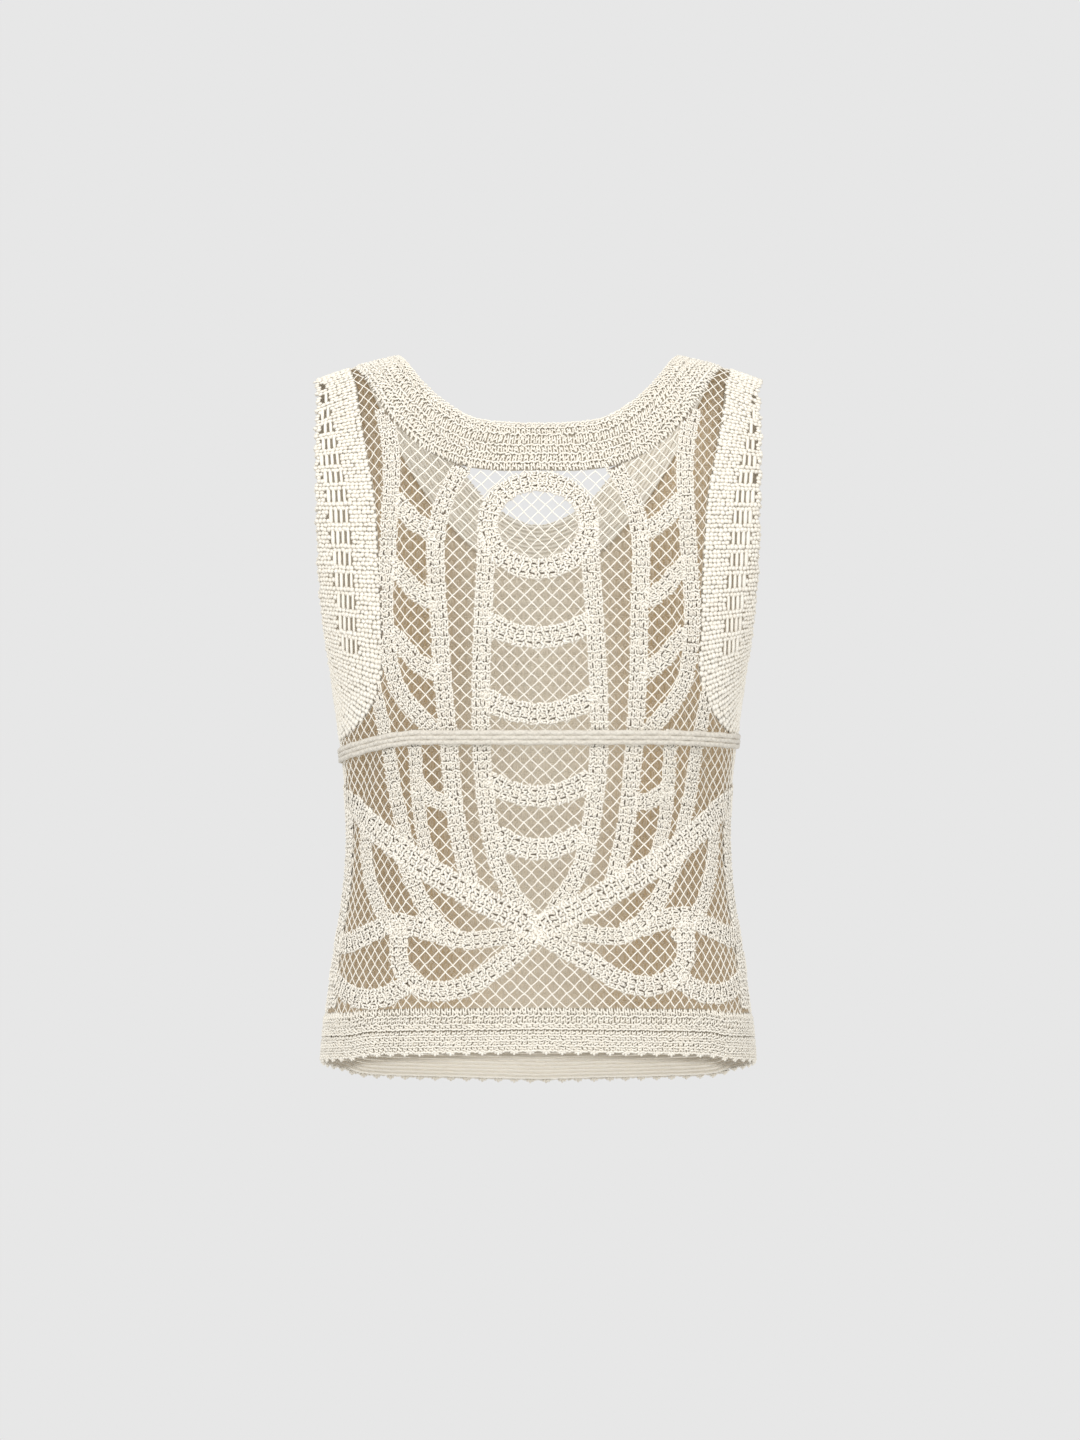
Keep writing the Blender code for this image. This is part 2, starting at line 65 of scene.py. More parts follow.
# Worn form, from the ridge down: height, half width, back depth, front depth
SECTIONS = (
    (0, 171, 0, 0), (-2, 171.2, 11, 11), (-8, 172.5, 22, 22), (-20, 176, 34, 34.5),
    (-40, 179.5, 47, 48), (-70, 182, 60, 63), (-110, 181, 72, 78), (-150, 176, 80, 90),
    (-200, 166, 86.5, 102), (-250, 154.5, 88, 106), (-300, 148, 84, 99), (-350, 143.5, 81, 92),
    (-400, 145.5, 84, 92), (-450, 153, 92, 98), (-500, 160.5, 98, 104), (-540, 163.5, 100, 106),
    (-600, 165, 101, 107),
)
RING_POWER = 2.3
SHOULDER_DROP, SHOULDER_START, SHOULDER_SPAN, SHOULDER_REACH = 20.0, 95.0, 76.0, 120.0
SHOULDER_POWER = 1.4

# Soft troughs: side, across, fall, half length, half width, depth, lean
FOLDS = (
    (BACK, 138, 352, 34, 9, 2.2, 0.35),
    (BACK, -141, 346, 40, 10, 2.6, -0.30),
    (BACK, 96, 536, 26, 11, 2.4, 0.10),
    (BACK, -118, 530, 30, 12, 3.0, -0.15),
    (BACK, 38, 540, 22, 10, 1.6, 0.05),
    (FRONT, 134, 330, 42, 10, 3.0, 0.40),
    (FRONT, -130, 338, 38, 11, 2.6, -0.35),
    (FRONT, 70, 540, 34, 12, 2.8, 0.10),
    (FRONT, -52, 548, 30, 11, 2.2, -0.05),
)

# Neckband, centre to ridge: edge across, edge fall, seam across, seam fall
NECK = {
    BACK: (
        (0, 79, 0, 117), (26, 78, 33, 117), (49, 74, 60, 112.5), (72, 59, 84.5, 100.5),
        (89, 39, 107, 78.5), (100, 17, 127, 39), (105, 0, 138, 0),
    ),
    FRONT: (
        (0, 158, 0, 196), (32, 145, 40, 183), (56, 118, 74, 150), (76, 84, 102, 107),
        (91, 51, 120, 63), (100, 23, 131, 28), (105, 0, 138, 0),
    ),
}
# Armhole band, ridge to underarm: edge from the side line, edge fall, seam from it, seam fall
ARMHOLE = (
    (3, 0, 29, 0), (19, 46, 51, 44), (31, 90, 73, 92), (38, 140, 88, 140), (36, 186, 91, 188),
    (27, 230, 87, 236), (15, 264, 75, 283), (7, 281, 52, 309), (0, 289, 0, 324),
)
# The right armhole band is narrower than the left one by this much, and by less at its ends
ARM_TRIM, ARM_TRIM_FULL = 4.5, 50.0
# Hem band: share of the way from the centre to the side line, seam fall, edge fall
HEM = {
    BACK: ((0.0, 524, 556), (0.45, 525, 558), (0.75, 529, 563), (1.0, 531, 565)),
    FRONT: ((0.0, 550, 584), (0.45, 547, 581), (0.75, 539, 573), (1.0, 531, 565)),
}
# Picots round the whole hem
PICOTS = 72

# Tapes of the lace. Each row gives the left half's tape: name, width, how far the right
# half's tape lies farther out and farther down, then stations as (across, fall).
RAILS = (
    ("diagonal", 19, 0, 0, (182, 366), (150, 376), (131, 388), (96, 412), (48, 440), (0, 465)),
    ("swoop", 15, 7, -4, (0, 467), (33, 495), (60, 510), (84, 511), (104, 496), (107, 468)),
    ("column_rail", 13.5, 3, 0, (38, 160), (42, 250), (43, 296), (39, 369), (29, 418), (4, 463)),
    ("inner_rail", 13.5, 5, 0, (56, 112), (70, 140), (73.5, 248), (67, 326), (61, 386), (50, 436)),
    ("outer_rail", 13, 4, 0, (116, 66), (111, 100), (113, 168), (116, 234), (108, 281), (78, 318)),
    ("leaf_side", 10.5, 7, 0, (94, 318), (93, 338), (91, 368), (88, 391), (78, 420)),
    ("leaf_bar", 12.5, 7, 0, (92, 358), (78, 368), (63, 370)),
    ("short_rail", 11.5, 8, 0, (129, 278), (121, 308), (114, 338), (111, 357), (98, 410)),
    ("petal", 13, 4, -3, (6, 466), (30, 471), (62, 472), (82, 453), (97, 426), (106, 404)),
    ("side_petal", 12.5, 3, 0, (138, 377), (139, 401), (133, 430), (124, 449), (104, 472)),
    ("side_rail", 20, 0, 0, (172, 366), (168, 392), (169, 428), (176, 461), (181, 489), (181, 522)),
    ("upper_sweep", 15, 2, -5, (190, 472), (159, 477), (136, 470), (110, 461), (84, 466), (64, 472)),
    ("lower_sweep", 15, 6, -4, (192, 494), (168, 508), (146, 517), (126, 518), (98, 506)),
)
# The shifts set in over this stretch of fall, and over this distance from the centre line
SHIFT_FROM, SHIFT_TO, SHIFT_ACROSS = 200.0, 320.0, 30.0
# Rungs between the two rails: fall at the outer rail, then stations as (across, share of the drop)
RUNGS = (135, 188, 241)
RUNG_WIDTH, RUNG_DROP = 14.0, 31.0
RUNG_STATIONS = ((113, 0), (103, 0.34), (92, 0.74), (76, 1))
# Arcs across the centre column: fall in the middle, half width, rise at the ends
ARC_WIDTH = 16.0
ARCS = ((246, 41, 14), (303, 43, 14), (365, 39, 13), (405, 32, 12))
RING_WIDTH, RING_FALL, RING_ACROSS, RING_TALL = 15.5, 160.0, 38.0, 34.0

# Cord: fall at the centre and at each side line, level share of the half
CORD_MID, CORD_RIGHT, CORD_LEFT, CORD_LEVEL = 320.5, 324.0, 335.0, 0.45
CORD_OUT = 4.0

# Stitches: a row of double crochet and one stitch's width, the net's diamonds and its yarn, then
# a row and a post of the front
ROW, STITCH_WIDE = 6.7, 4.1
DIAMOND, STRAND = 10.7, 1.08
FRONT_ROW, FRONT_POST = 7.4, 4.6
# Each tape runs on past its stations by this much, and its stitches stop short of its ends by
# this share of its width
TAPE_LONGER, TAPE_TRIM = 3.0, 0.42
SEED = 7

# %% [markdown]
# ## The worn form as a chart
#
# The solids' form is a stack of rings. Each ring is a superellipse, which is flatter at the back
# than an ellipse and tighter at the sides. The stack is measured once on a fine grid of the chart,
# and every later point is read from that grid by straight interpolation.

# %% Smooth tables and the form
def unit(way):
    """Each direction divided by its length."""
    return way / np.linalg.norm(way, axis=-1, keepdims=True)


def reach_along(line):
    """Length from a line's start to each of its points."""
    return np.concatenate([[0], np.linalg.norm(np.diff(line, axis=0), axis=1).cumsum()])


def read(rows, key, at):
    """The rows' columns by straight interpolation, where the key has the values at."""
    return np.stack([np.interp(at, key, column) for column in rows.T], axis=-1)


def mids(count):
    """Middles of so many equal shares of one."""
    return (np.arange(count) + 0.5) / count


def smooth(rows, per_row, before=None, after=None, key=None):
    """A curve through the rows: cubic pieces whose slope at a row is the mean of the slopes on
    both sides, each weighted by the other side's length."""
    rows = np.array(rows, float)
    first = 2 * rows[0] - rows[1] if before is None else np.array(before, float)
    last = 2 * rows[-1] - rows[-2] if after is None else np.array(after, float)
    rows = np.vstack([first, rows, last])
    marks = rows if key is None else key(rows)
    gap = np.linalg.norm(np.diff(marks, axis=0), axis=1)[:, None]
    rise = np.diff(rows, axis=0) / gap
    slope = (rise[:-1] * gap[1:] + rise[1:] * gap[:-1]) / (gap[:-1] + gap[1:])
    t = np.linspace(0, 1, per_row, endpoint=False)[None, :, None]
    start, end = rows[1:-2, None], rows[2:-1, None]
    length = gap[1:-1, None]
    curve = (
        (2 * t**3 - 3 * t**2 + 1) * start
        + (t**3 - 2 * t**2 + t) * slope[:-1, None] * length
        + (3 * t**2 - 2 * t**3) * end
        + (t**3 - t**2) * slope[1:, None] * length
    )
    return np.vstack([curve.reshape(-1, rows.shape[1]), rows[-2:-1]])


def level_and_depth(rows):
    """Height and mean depth of each row: their path is the fall of the cloth."""
    return np.column_stack([rows[:, 0], rows[:, 2:].mean(1)])


FORM = smooth(SECTIONS, 24, before=(-2, 171.2, -11, -11), key=level_and_depth)
FALL = reach_along(level_and_depth(FORM))
TURN = np.linspace(0, math.pi / 2, 161)
RING_X, RING_Y = np.sin(TURN) ** (2 / RING_POWER), np.cos(TURN) ** (2 / RING_POWER)


def rings(side, fall):
    """Quarter rings: x is half width times sin to the 2/power, y is depth times cos to the
    2/power, with the arc length summed from the centre line."""
    height, width, back, front = read(FORM, FALL, fall).T
    x = width[:, None] * RING_X
    y = np.where(side < 0, back, front)[:, None] * RING_Y
    arc = np.hypot(np.diff(x, axis=1), np.diff(y, axis=1)).cumsum(1)
    return x, y, np.hstack([np.zeros((len(x), 1)), arc]), height


def side_line(side, fall):
    """Arc length from the centre line to the side line."""
    fall = np.atleast_1d(np.asarray(fall, float))
    return rings(np.full(len(fall), side), fall)[2][:, -1]


def middle_surface(side, across, fall):
    """The worn form without thickness. A negative fall, or an across beyond the side line, is a
    place on the other side, so the chart runs on over the ridge and round the side."""
    side = np.where(fall < 0, -side, side)
    fall = np.abs(fall)
    x, y, arc, height = rings(side, fall)
    over = np.abs(across) - arc[:, -1]
    far = over > 0
    x[far], y[far], arc[far], _ = rings(-side[far], fall[far])
    side = np.where(far, -side, side)
    reach = np.where(far, arc[:, -1] - over, np.abs(across))
    after = np.clip((arc < reach[:, None]).sum(1), 1, len(TURN) - 1)
    row = np.arange(len(x))
    share = (reach - arc[row, after - 1]) / (arc[row, after] - arc[row, after - 1])
    px, py = (v[row, after - 1] + share * (v[row, after] - v[row, after - 1]) for v in (x, y))
    fade = np.clip(1 + height / SHOULDER_REACH, 0, 1)
    slope = np.clip((px - SHOULDER_START) / SHOULDER_SPAN, 0, None) ** SHOULDER_POWER
    height = height - SHOULDER_DROP * slope * fade**2 * (3 - 2 * fade)
    return np.column_stack([np.sign(across) * px, side * py, height])


# The chart's grid, which runs on a little past the cloth
GRID = 3.0
GRID_ACROSS = np.arange(-300, 300 + GRID, GRID)
GRID_FALL = np.arange(-15, 606 + GRID, GRID)


def chart(side):
    """Place and normal at every crossing of the grid. The normal is the cross product of the two
    directions of the chart, and the folds' troughs are taken off along it."""
    across, fall = (g.ravel() for g in np.meshgrid(GRID_ACROSS, GRID_FALL))
    sides = np.full(len(across), side)
    steps = ((1, 0), (-1, 0), (0, 1), (0, -1))
    near = [middle_surface(sides, across + GRID * a, fall + GRID * f) for a, f in steps]
    normal = np.cross(near[0] - near[1], near[2] - near[3]) * side
    normal /= np.maximum(np.linalg.norm(normal, axis=1), 1e-9)[:, None]
    point = middle_surface(sides, across, fall)
    for fold_side, at, low, length, width, depth, lean in FOLDS:
        beside = across - at - lean * (fall - low)
        hollow = depth * np.exp(-(((fall - low) / length) ** 2) - (beside / width) ** 2)
        point -= normal * (hollow * (fold_side == side))[:, None]
    return np.hstack([point, normal]).reshape(len(GRID_FALL), len(GRID_ACROSS), 6)


CHARTS = {side: chart(side) for side in (BACK, FRONT)}


def on_cloth(side, place, out):
    """Metres on the cloth, moved out along the normal: the four grid crossings round the place,
    each weighted by how near it is."""
    a = np.clip((place[..., 0] - GRID_ACROSS[0]) / GRID, 0, len(GRID_ACROSS) - 1.001)
    f = np.clip((place[..., 1] - GRID_FALL[0]) / GRID, 0, len(GRID_FALL) - 1.001)
    i, j = f.astype(int), a.astype(int)
    df, da = (f - i)[..., None], (a - j)[..., None]
    grid = CHARTS[side]
    upper, lower = (grid[row, j] * (1 - da) + grid[row, j + 1] * da for row in (i, i + 1))
    mix = upper * (1 - df) + lower * df
    return (mix[..., :3] + unit(mix[..., 3:]) * np.asarray(out)[..., None]) * MM


print("chart grid", CHARTS[BACK].shape, "cloth falls", round(FALL[-1]), "mm from ridge to below the hem")

# %% [markdown]
# ## Yarn
#
# Two shapes make all the cloth. A stitch is a short closed bead of yarn, narrower at its ends, so
# four of them leave a pinhole where they meet. A strand is a tube along a path. Both are built for
# all places at once, by repeating one small template.

# %% Beads, stitches and strands
rng = np.random.default_rng(SEED)

# A double crochet: each bead's near end and far end as (along, beside) shares of the stitch,
# then its width as a share of the stitch's, its thickness and its lift
STITCH = (
    (-0.56, 0.22, 0.50, 0.17, 0.40, 2.2, 0.0),
    (-0.56, -0.50, 0.50, -0.20, 0.40, 2.2, 0.0),
    (-0.16, -0.40, 0.14, 0.42, 0.38, 1.7, 0.9),
    (0.36, -0.66, 0.54, 0.10, 0.40, 1.7, 0.9),
    (0.60, -0.10, 0.40, 0.66, 0.40, 1.7, 0.9),
)
# Random shift of a bead's ends, as a share of the stitch, and of its lift; how much longer than
# its line a bead is, and the power that makes its ends blunt
SHAKE, LIFT_SHAKE, OVERRUN, BLUNT = 0.075, 0.1, 0.7, 0.4
# How far a strand's pole stands out from its last ring, as a share of the radius
POLE = 0.7
# Grid of a ground sheet, and half its thickness
GROUND_STEP, GROUND_HALF = 8.0, 0.3
# Millimetres of yarn to one turn of its ply
TURN_LONG = 10
# How much painted shade a bead's underside and its flanks take, so that a stitch is lighter on top
UNDER_SHADE, FLANK_SHADE = 1.0, 0.2


def quads_of(near, far):
    """Quads between two grids of point numbers, each a step along from the other."""
    return np.stack([near[0], near[1], far[1], far[0]], axis=-1).reshape(-1, 4)


def tube_faces(sides, count):
    """Quads between so many rings, and triangles from both end rings to the two poles that
    follow the rings."""
    ring = np.arange(count * sides).reshape(count, sides)
    after = np.roll(ring, -1, axis=1)
    quads = quads_of((ring[:-1], after[:-1]), (ring[1:], after[1:]))
    pole = np.full(sides, count * sides)
    ends = [np.column_stack([pole, after[0], ring[0]]), np.column_stack([pole + 1, ring[-1], after[-1]])]
    return quads, np.vstack(ends)


def bead(sides, around):
    """A closed bead of unit half sizes: rings at the cosines of even steps, narrowed by a power
    of the sine, and a pole at each end. Returns points as (along, beside, up), quads and tris."""
    step = math.pi * np.arange(1, around + 1) / (around + 1)
    turn = 2 * math.pi * np.arange(sides) / sides
    girth = np.sin(step)[:, None] ** BLUNT
    ring = [np.repeat(np.cos(step), sides), (girth * np.cos(turn)).ravel(), (girth * np.sin(turn)).ravel()]
    points = np.vstack([np.column_stack(ring), [[1, 0, 0], [-1, 0, 0]]])
    quads, tris = tube_faces(sides, around)
    return points, quads[:, ::-1], tris[:, ::-1]


def across_way(way):
    """Each direction turned a quarter."""
    return np.stack([-way[..., 1], way[..., 0]], axis=-1)


def gather(side, points, quads, tris, tone, twist, painted_shade):
    """Repeats a template's faces for every copy, turned to face out on either side, and gives
    every point its tone, its place along the yarn and its share of painted shade."""
    count, size = points.shape[:2]
    shift = (np.arange(count) * size)[:, None, None]
    turned = -1 if side == BACK else 1
    quads = (quads[None] + shift).reshape(-1, 4)[:, ::turned]
    tris = (tris[None] + shift).reshape(-1, 3)[:, ::turned]
    values = (np.broadcast_to(v, (count, size)).ravel() for v in (tone, twist, painted_shade))
    return points.reshape(-1, 3), quads, tris, *values


def beads(side, centre, way, length, width, thick, out, shape=(4, 2)):
    """Beads at the centres: along follows way, beside is way turned a quarter, up leaves the
    cloth. Each local point is scaled by half the bead's length, width and thickness."""
    local, quads, tris = bead(*shape)
    count = len(centre)
    sizes = (np.broadcast_to(np.asarray(v, float), (count,))[:, None] for v in (length, width, thick))
    along, beside, up = (local[:, k] * size / 2 for k, size in enumerate(sizes))
    way = unit(np.broadcast_to(way, centre.shape))[:, None]
    place = centre[:, None] + along[..., None] * way + beside[..., None] * across_way(way)
    points = on_cloth(side, place, np.broadcast_to(out, (count,))[:, None] + up)
    tone = rng.uniform(0, 1, (count, 1))
    # Painted shade: full on the bead's underside, a little on its flanks, none on its top
    painted_shade = np.interp(-local[:, 2], (-1, 0, 1), (0, FLANK_SHADE, UNDER_SHADE))
    return gather(side, points, quads, tris, tone, along / TURN_LONG, painted_shade)


def crochet(side, centre, way, tall, wide, lean, out=0.0, plump=1.0, flat=1.0):
    """Double crochets at the centres. Each is the beads of STITCH: their ends are shares of the
    stitch's height along way and of its width beside it, moved a little at random, and lean
    turns the whole stitch over. Plump and flat are shares of the beads' width and thickness."""
    way = unit(way)
    beside = across_way(way)

    def spot(a, b, shake):
        """Where an end of a bead lies in every stitch."""
        place = centre + way * ((a + shake[0]) * tall)[:, None]
        return place + beside * ((b * lean + shake[1]) * wide)[:, None]

    made = []
    for a0, b0, a1, b1, broad, thick, lift in STITCH:
        shake = rng.normal(0, SHAKE, (4, len(centre)))
        start, end = spot(a0, b0, shake[:2]), spot(a1, b1, shake[2:])
        length = np.linalg.norm(end - start, axis=1) + OVERRUN
        up = out + lift + rng.normal(0, LIFT_SHAKE, len(centre))
        sizes = (length, broad * plump * wide, thick * flat)
        made.append(beads(side, (start + end) / 2, end - start, *sizes, up))
    return made


def strands(side, paths, radius, out, sides=4, flat=1.0, painted_shade=0.0):
    """Tubes along many paths of equal point count, shape (paths, points, 2). Round each point
    stands a ring square to the path, flattened to a share of its radius, and both ends are
    closed by a pole. Its last argument gives each point's share of painted shade."""
    count, steps = paths.shape[:2]
    way = unit(np.gradient(paths, axis=1))
    turn = 2 * math.pi * np.arange(sides) / sides + math.pi / 4
    radius, out, painted_shade = (np.broadcast_to(np.asarray(v, float), (count, steps)) for v in (radius, out, painted_shade))
    beside = radius[..., None] * np.cos(turn)
    up = radius[..., None] * np.sin(turn) * flat
    place = (paths[:, :, None] + beside[..., None] * across_way(way)[:, :, None]).reshape(count, -1, 2)
    ends = paths[:, [0, -1]] + way[:, [0, -1]] * radius[:, [0, -1], None] * ((-POLE,), (POLE,))
    lift = np.hstack([(out[..., None] + up).reshape(count, -1), out[:, [0, -1]]])
    points = on_cloth(side, np.hstack([place, ends]), lift)
    reach = np.linalg.norm(np.diff(paths, axis=1), axis=2).cumsum(1)
    reach = np.hstack([np.zeros((count, 1)), reach]) / TURN_LONG
    twist, painted_shade = (np.hstack([np.repeat(v, sides, axis=1), v[:, [0, -1]]]) for v in (reach, painted_shade))
    return gather(side, points, *tube_faces(sides, steps), rng.uniform(0, 1, (count, 1)), twist, painted_shade)


def merge(pieces):
    """Several lists of yarn as one: each one's faces are counted on from those before it."""
    start, quads, tris = 0, [], []
    for points, q, t, *_ in pieces:
        quads.append(q + start)
        tris.append(t + start)
        start += len(points)
    points, tone, twist, painted_shade = (np.concatenate([p[k] for p in pieces]) for k in (0, 3, 4, 5))
    return points, np.vstack(quads), np.vstack(tris), tone, twist, painted_shade


def two_faced(side, place, faces, edge, out, shade):
    """A thin closed sheet from faces that all turn one way: they stand once outside and once
    turned round inside, with a rim along the edge. Shade is the share of painted shade on either face."""
    count, after = len(place), np.roll(edge, -1)
    points = np.vstack([on_cloth(side, place, out + half) for half in (GROUND_HALF, -GROUND_HALF)])
    both = np.vstack([faces[:, ::-1], faces + count])
    rim = quads_of((edge, after), (edge + count, after + count))
    tris = both if faces.shape[1] == 3 else np.empty((0, 3), int)
    quads = rim if faces.shape[1] == 3 else np.vstack([both, rim])
    return gather(side, points[None], quads, tris, 0.5, 0, np.repeat(shade, count))


def ground(side, loop):
    """A sheet inside the loop: a staggered grid and the loop's points, joined by Delaunay
    triangles. Its outer face takes half the painted shade and its inner face all of it."""
    low, high = loop.min(0), loop.max(0)
    a, f = np.meshgrid(*(np.arange(low[k], high[k], GROUND_STEP) for k in (0, 1)))
    a = a + GROUND_STEP / 2 * (np.arange(len(a)) % 2)[:, None]
    grid = np.column_stack([a.ravel(), f.ravel()])
    grid = grid[inside(grid, loop)]
    grid = grid[distance(grid, [np.vstack([loop, loop[:1]])]) > GROUND_STEP / 3]
    spots = [Vector(p) for p in np.vstack([loop, grid])]
    found = delaunay_2d_cdt(spots, [], [tuple(range(len(loop)))], 1, 1e-5)
    place = np.array([tuple(p) for p in found[0]])
    tris = np.array([face for face in found[2] if len(face) == 3])
    flip = np.cross(place[tris[:, 1]] - place[tris[:, 0]], place[tris[:, 2]] - place[tris[:, 0]]) < 0
    tris[flip] = tris[flip][:, ::-1]
    return two_faced(side, place, tris, np.arange(len(loop))[::-1], 0.0, (0.5, 1.0))


def thin_strip(side, rows, steps, high=1.0, out=0.0, shade=(1.0, 0.0)):
    """A sheet along a band, from its seam to a share of its width: a grid of shares of its
    length and width. By default its outer face is all painted shade, a dark sheet under the stitches."""
    u, v = np.meshgrid(np.linspace(0, 1, len(rows)), np.linspace(0, high, steps + 1), indexing="ij")
    place = in_strip(rows, u, v).reshape(-1, 2)
    number = np.arange(len(place)).reshape(u.shape)
    quads = quads_of((number[:-1, :-1], number[:-1, 1:]), (number[1:, :-1], number[1:, 1:]))
    edge = np.concatenate([number[:, 0], number[-1, 1:], number[-2::-1, -1], number[0, -2:0:-1]])
    a, b, c = (place[quads[:, i]] for i in (0, 1, 2))
    if np.cross(b - a, c - a).sum() < 0:
        quads, edge = quads[:, ::-1], edge[::-1]
    return two_faced(side, place, quads, edge, out, shade)


def cloth(name, pieces, material):
    """A smooth shaded mesh from yarn, with each stitch's tone, its place along the yarn and its painted
    shade.
    """
    points, quads, tris, tone, twist, painted_shade = merge(pieces)
    mesh = bpy.data.meshes.new(name)
    mesh.vertices.add(len(points))
    mesh.vertices.foreach_set("co", points.ravel().astype(np.float32))
    corners = np.concatenate([quads.ravel(), tris.ravel()]).astype(np.int32)
    mesh.loops.add(len(corners))
    mesh.loops.foreach_set("vertex_index", corners)
    starts = np.concatenate([np.arange(len(quads)) * 4, len(quads) * 4 + np.arange(len(tris)) * 3])
    mesh.polygons.add(len(starts))
    mesh.polygons.foreach_set("loop_start", starts.astype(np.int32))
    mesh.polygons.foreach_set("use_smooth", np.ones(len(starts), bool))
    for label, values in (("tone", tone), ("twist", twist), ("painted_shade", painted_shade)):
        layer = mesh.attributes.new(label, "FLOAT", "POINT")
        layer.data.foreach_set("value", values.astype(np.float32))
    mesh.update(calc_edges=True)
    mesh.validate()
    obj = bpy.data.objects.new(name, mesh)
    bpy.context.scene.collection.objects.link(obj)
    mesh.materials.append(material)
    return obj


# %% [markdown]
# ## Lines in the chart
#
# Tapes and bands are laid out as lines in the chart. A band is a strip: at each row across it
# stand a point of its free edge and a point of its seam, and a place in it is named by how far
# along (u) and how far from seam to edge (v) it lies.

# %% Lines, strips and outlines
LOOK = 2.0
HEM_ROWS = 81


def evenly(line, count, offset=0.5):
    """Stations at equal lengths along a line, and its direction at each, from LOOK before the
    station to LOOK after it."""
    length = reach_along(line)
    at = (np.arange(count) + offset) * length[-1] / count
    way = read(line, length, at + LOOK) - read(line, length, at - LOOK)
    return read(line, length, at), unit(way)


def band_rows(table, start_turn, end_turn):
    """Rows across a band on a smooth curve; a turn mirrors the rows past an end."""
    before = np.array(table[1], float) * start_turn
    after = np.array(table[-2], float) * end_turn
    return smooth(table, 16, before, after)


def neck_rows(side):
    """Neckband rows from ridge to ridge across the centre."""
    half = band_rows(NECK[side], (-1, 1, -1, 1), (1, -1, 1, -1))
    return np.vstack([half[::-1] * (-1, 1, -1, 1), half[1:]])


def armhole_rows(side, sign):
    """Armhole band rows from ridge to underarm; the right band's seam is moved by the trim."""
    rows = band_rows(ARMHOLE, (1, -1, 1, -1), (-1, 1, -1, 1))
    if sign > 0:
        rows[:, 2] -= ARM_TRIM * np.clip(rows[:, 2] / ARM_TRIM_FULL, 0, 1)
    rows[:, 0] = side_line(side, rows[:, 1]) - rows[:, 0]
    rows[:, 2] = side_line(side, rows[:, 3]) - rows[:, 2]
    return rows * (sign, 1, sign, 1)


def hem_rows(side):
    """Hem band rows from side line to side line."""
    share = np.linspace(-1, 1, HEM_ROWS)
    line = smooth(HEM[side], 16)
    seam, edge = (np.interp(np.abs(share), line[:, 0], line[:, k]) for k in (1, 2))
    return np.column_stack([share * side_line(side, edge), edge, share * side_line(side, seam), seam])


def in_strip(rows, u, v):
    """The chart's place at share u of the middle line's length and share v from seam to edge."""
    length = reach_along((rows[:, :2] + rows[:, 2:]) / 2)
    number = np.arange(len(rows))
    row = read(rows, number, np.interp(u * length[-1], length, number))
    return row[..., 2:] + (row[..., :2] - row[..., 2:]) * np.asarray(v)[..., None]


def strip_length(rows):
    """Length of a strip's middle line."""
    return reach_along((rows[:, :2] + rows[:, 2:]) / 2)[-1]


def panel_outline(side):
    """A panel's outline: neck seam, armhole seams, side lines and hem seam."""
    neck = neck_rows(side)[:, 2:]
    hem = hem_rows(side)[:, 2:]
    flanks = []
    for sign in (1, -1):
        arm = armhole_rows(side, sign)[:, 2:]
        fall = np.linspace(arm[-1, 1], hem[-1, 1], 12)[1:-1]
        flanks.append(np.vstack([arm, np.column_stack([sign * side_line(side, fall), fall])]))
    return np.vstack([neck, flanks[0], hem[::-1], flanks[1][::-1]])


def inside(points, loop):
    """Whether each point lies inside the loop, by how often a level line crosses it."""
    a, b = loop, np.roll(loop, -1, axis=0)
    x, y = points[:, 0, None], points[:, 1, None]
    cross = (a[:, 1] > y) != (b[:, 1] > y)
    level = np.where(b[:, 1] == a[:, 1], 1, b[:, 1] - a[:, 1])
    at = a[:, 0] + (y - a[:, 1]) / level * (b[:, 0] - a[:, 0])
    return (cross & (x < at)).sum(1) % 2 == 1


def distance(points, lines):
    """Distance from each point to the nearest of the lines' segments."""
    best = np.full(len(points), np.inf)
    for line in lines:
        start, way = line[:-1], np.diff(line, axis=0)
        share = ((points[:, None] - start) * way).sum(2) / (way**2).sum(1)
        foot = start + np.clip(share, 0, 1)[..., None] * way
        best = np.minimum(best, np.linalg.norm(points[:, None] - foot, axis=2).min(1))
    return best


def longer(line):
    """A line drawn on straight past both its ends, so that tapes meet without a gap."""
    first, last = unit(line[0] - line[1]), unit(line[-1] - line[-2])
    return np.vstack([line[0] + first * TAPE_LONGER, line, line[-1] + last * TAPE_LONGER])


def shorter(line, cut):
    """A line without a stretch of the given length at either end."""
    length = reach_along(line)
    return read(line, length, np.linspace(cut, length[-1] - cut, len(line)))


def tape_lines():
    """Width and centre line of each tape, the ring first, then both halves of each tape with the
    right one shifted, then rungs and arcs."""
    turn = np.linspace(0, 2 * math.pi, 61)
    ring = np.column_stack([RING_ACROSS * np.sin(turn), RING_FALL - RING_TALL * np.cos(turn)])
    found = [(RING_WIDTH, ring)]
    for _, width, out, down, *stations in RAILS:
        line = smooth(stations, 14)
        share = np.clip((line[:, 1] - SHIFT_FROM) / (SHIFT_TO - SHIFT_FROM), 0, 1)
        share = share * np.clip(line[:, 0] / SHIFT_ACROSS, 0, 1)
        found.append((width, longer(line + share[:, None] * (out, down))))
        found.append((width, longer(line * (-1, 1))))
    for fall in RUNGS:
        line = smooth([(x, fall + share * RUNG_DROP) for x, share in RUNG_STATIONS], 14)
        found += [(RUNG_WIDTH, line), (RUNG_WIDTH, line * (-1, 1))]
    for fall, width, rise in ARCS:
        across = np.linspace(-width, width, 31)
        found.append((ARC_WIDTH, np.column_stack([across, fall - rise * (across / width) ** 2])))
    return found


def depth_in(points, tapes):
    """How far each point lies inside the nearest tape's edge; below zero outside all tapes."""
    return np.max([width / 2 - distance(points, [line]) for width, line in tapes], axis=0)


TAPES = tape_lines()
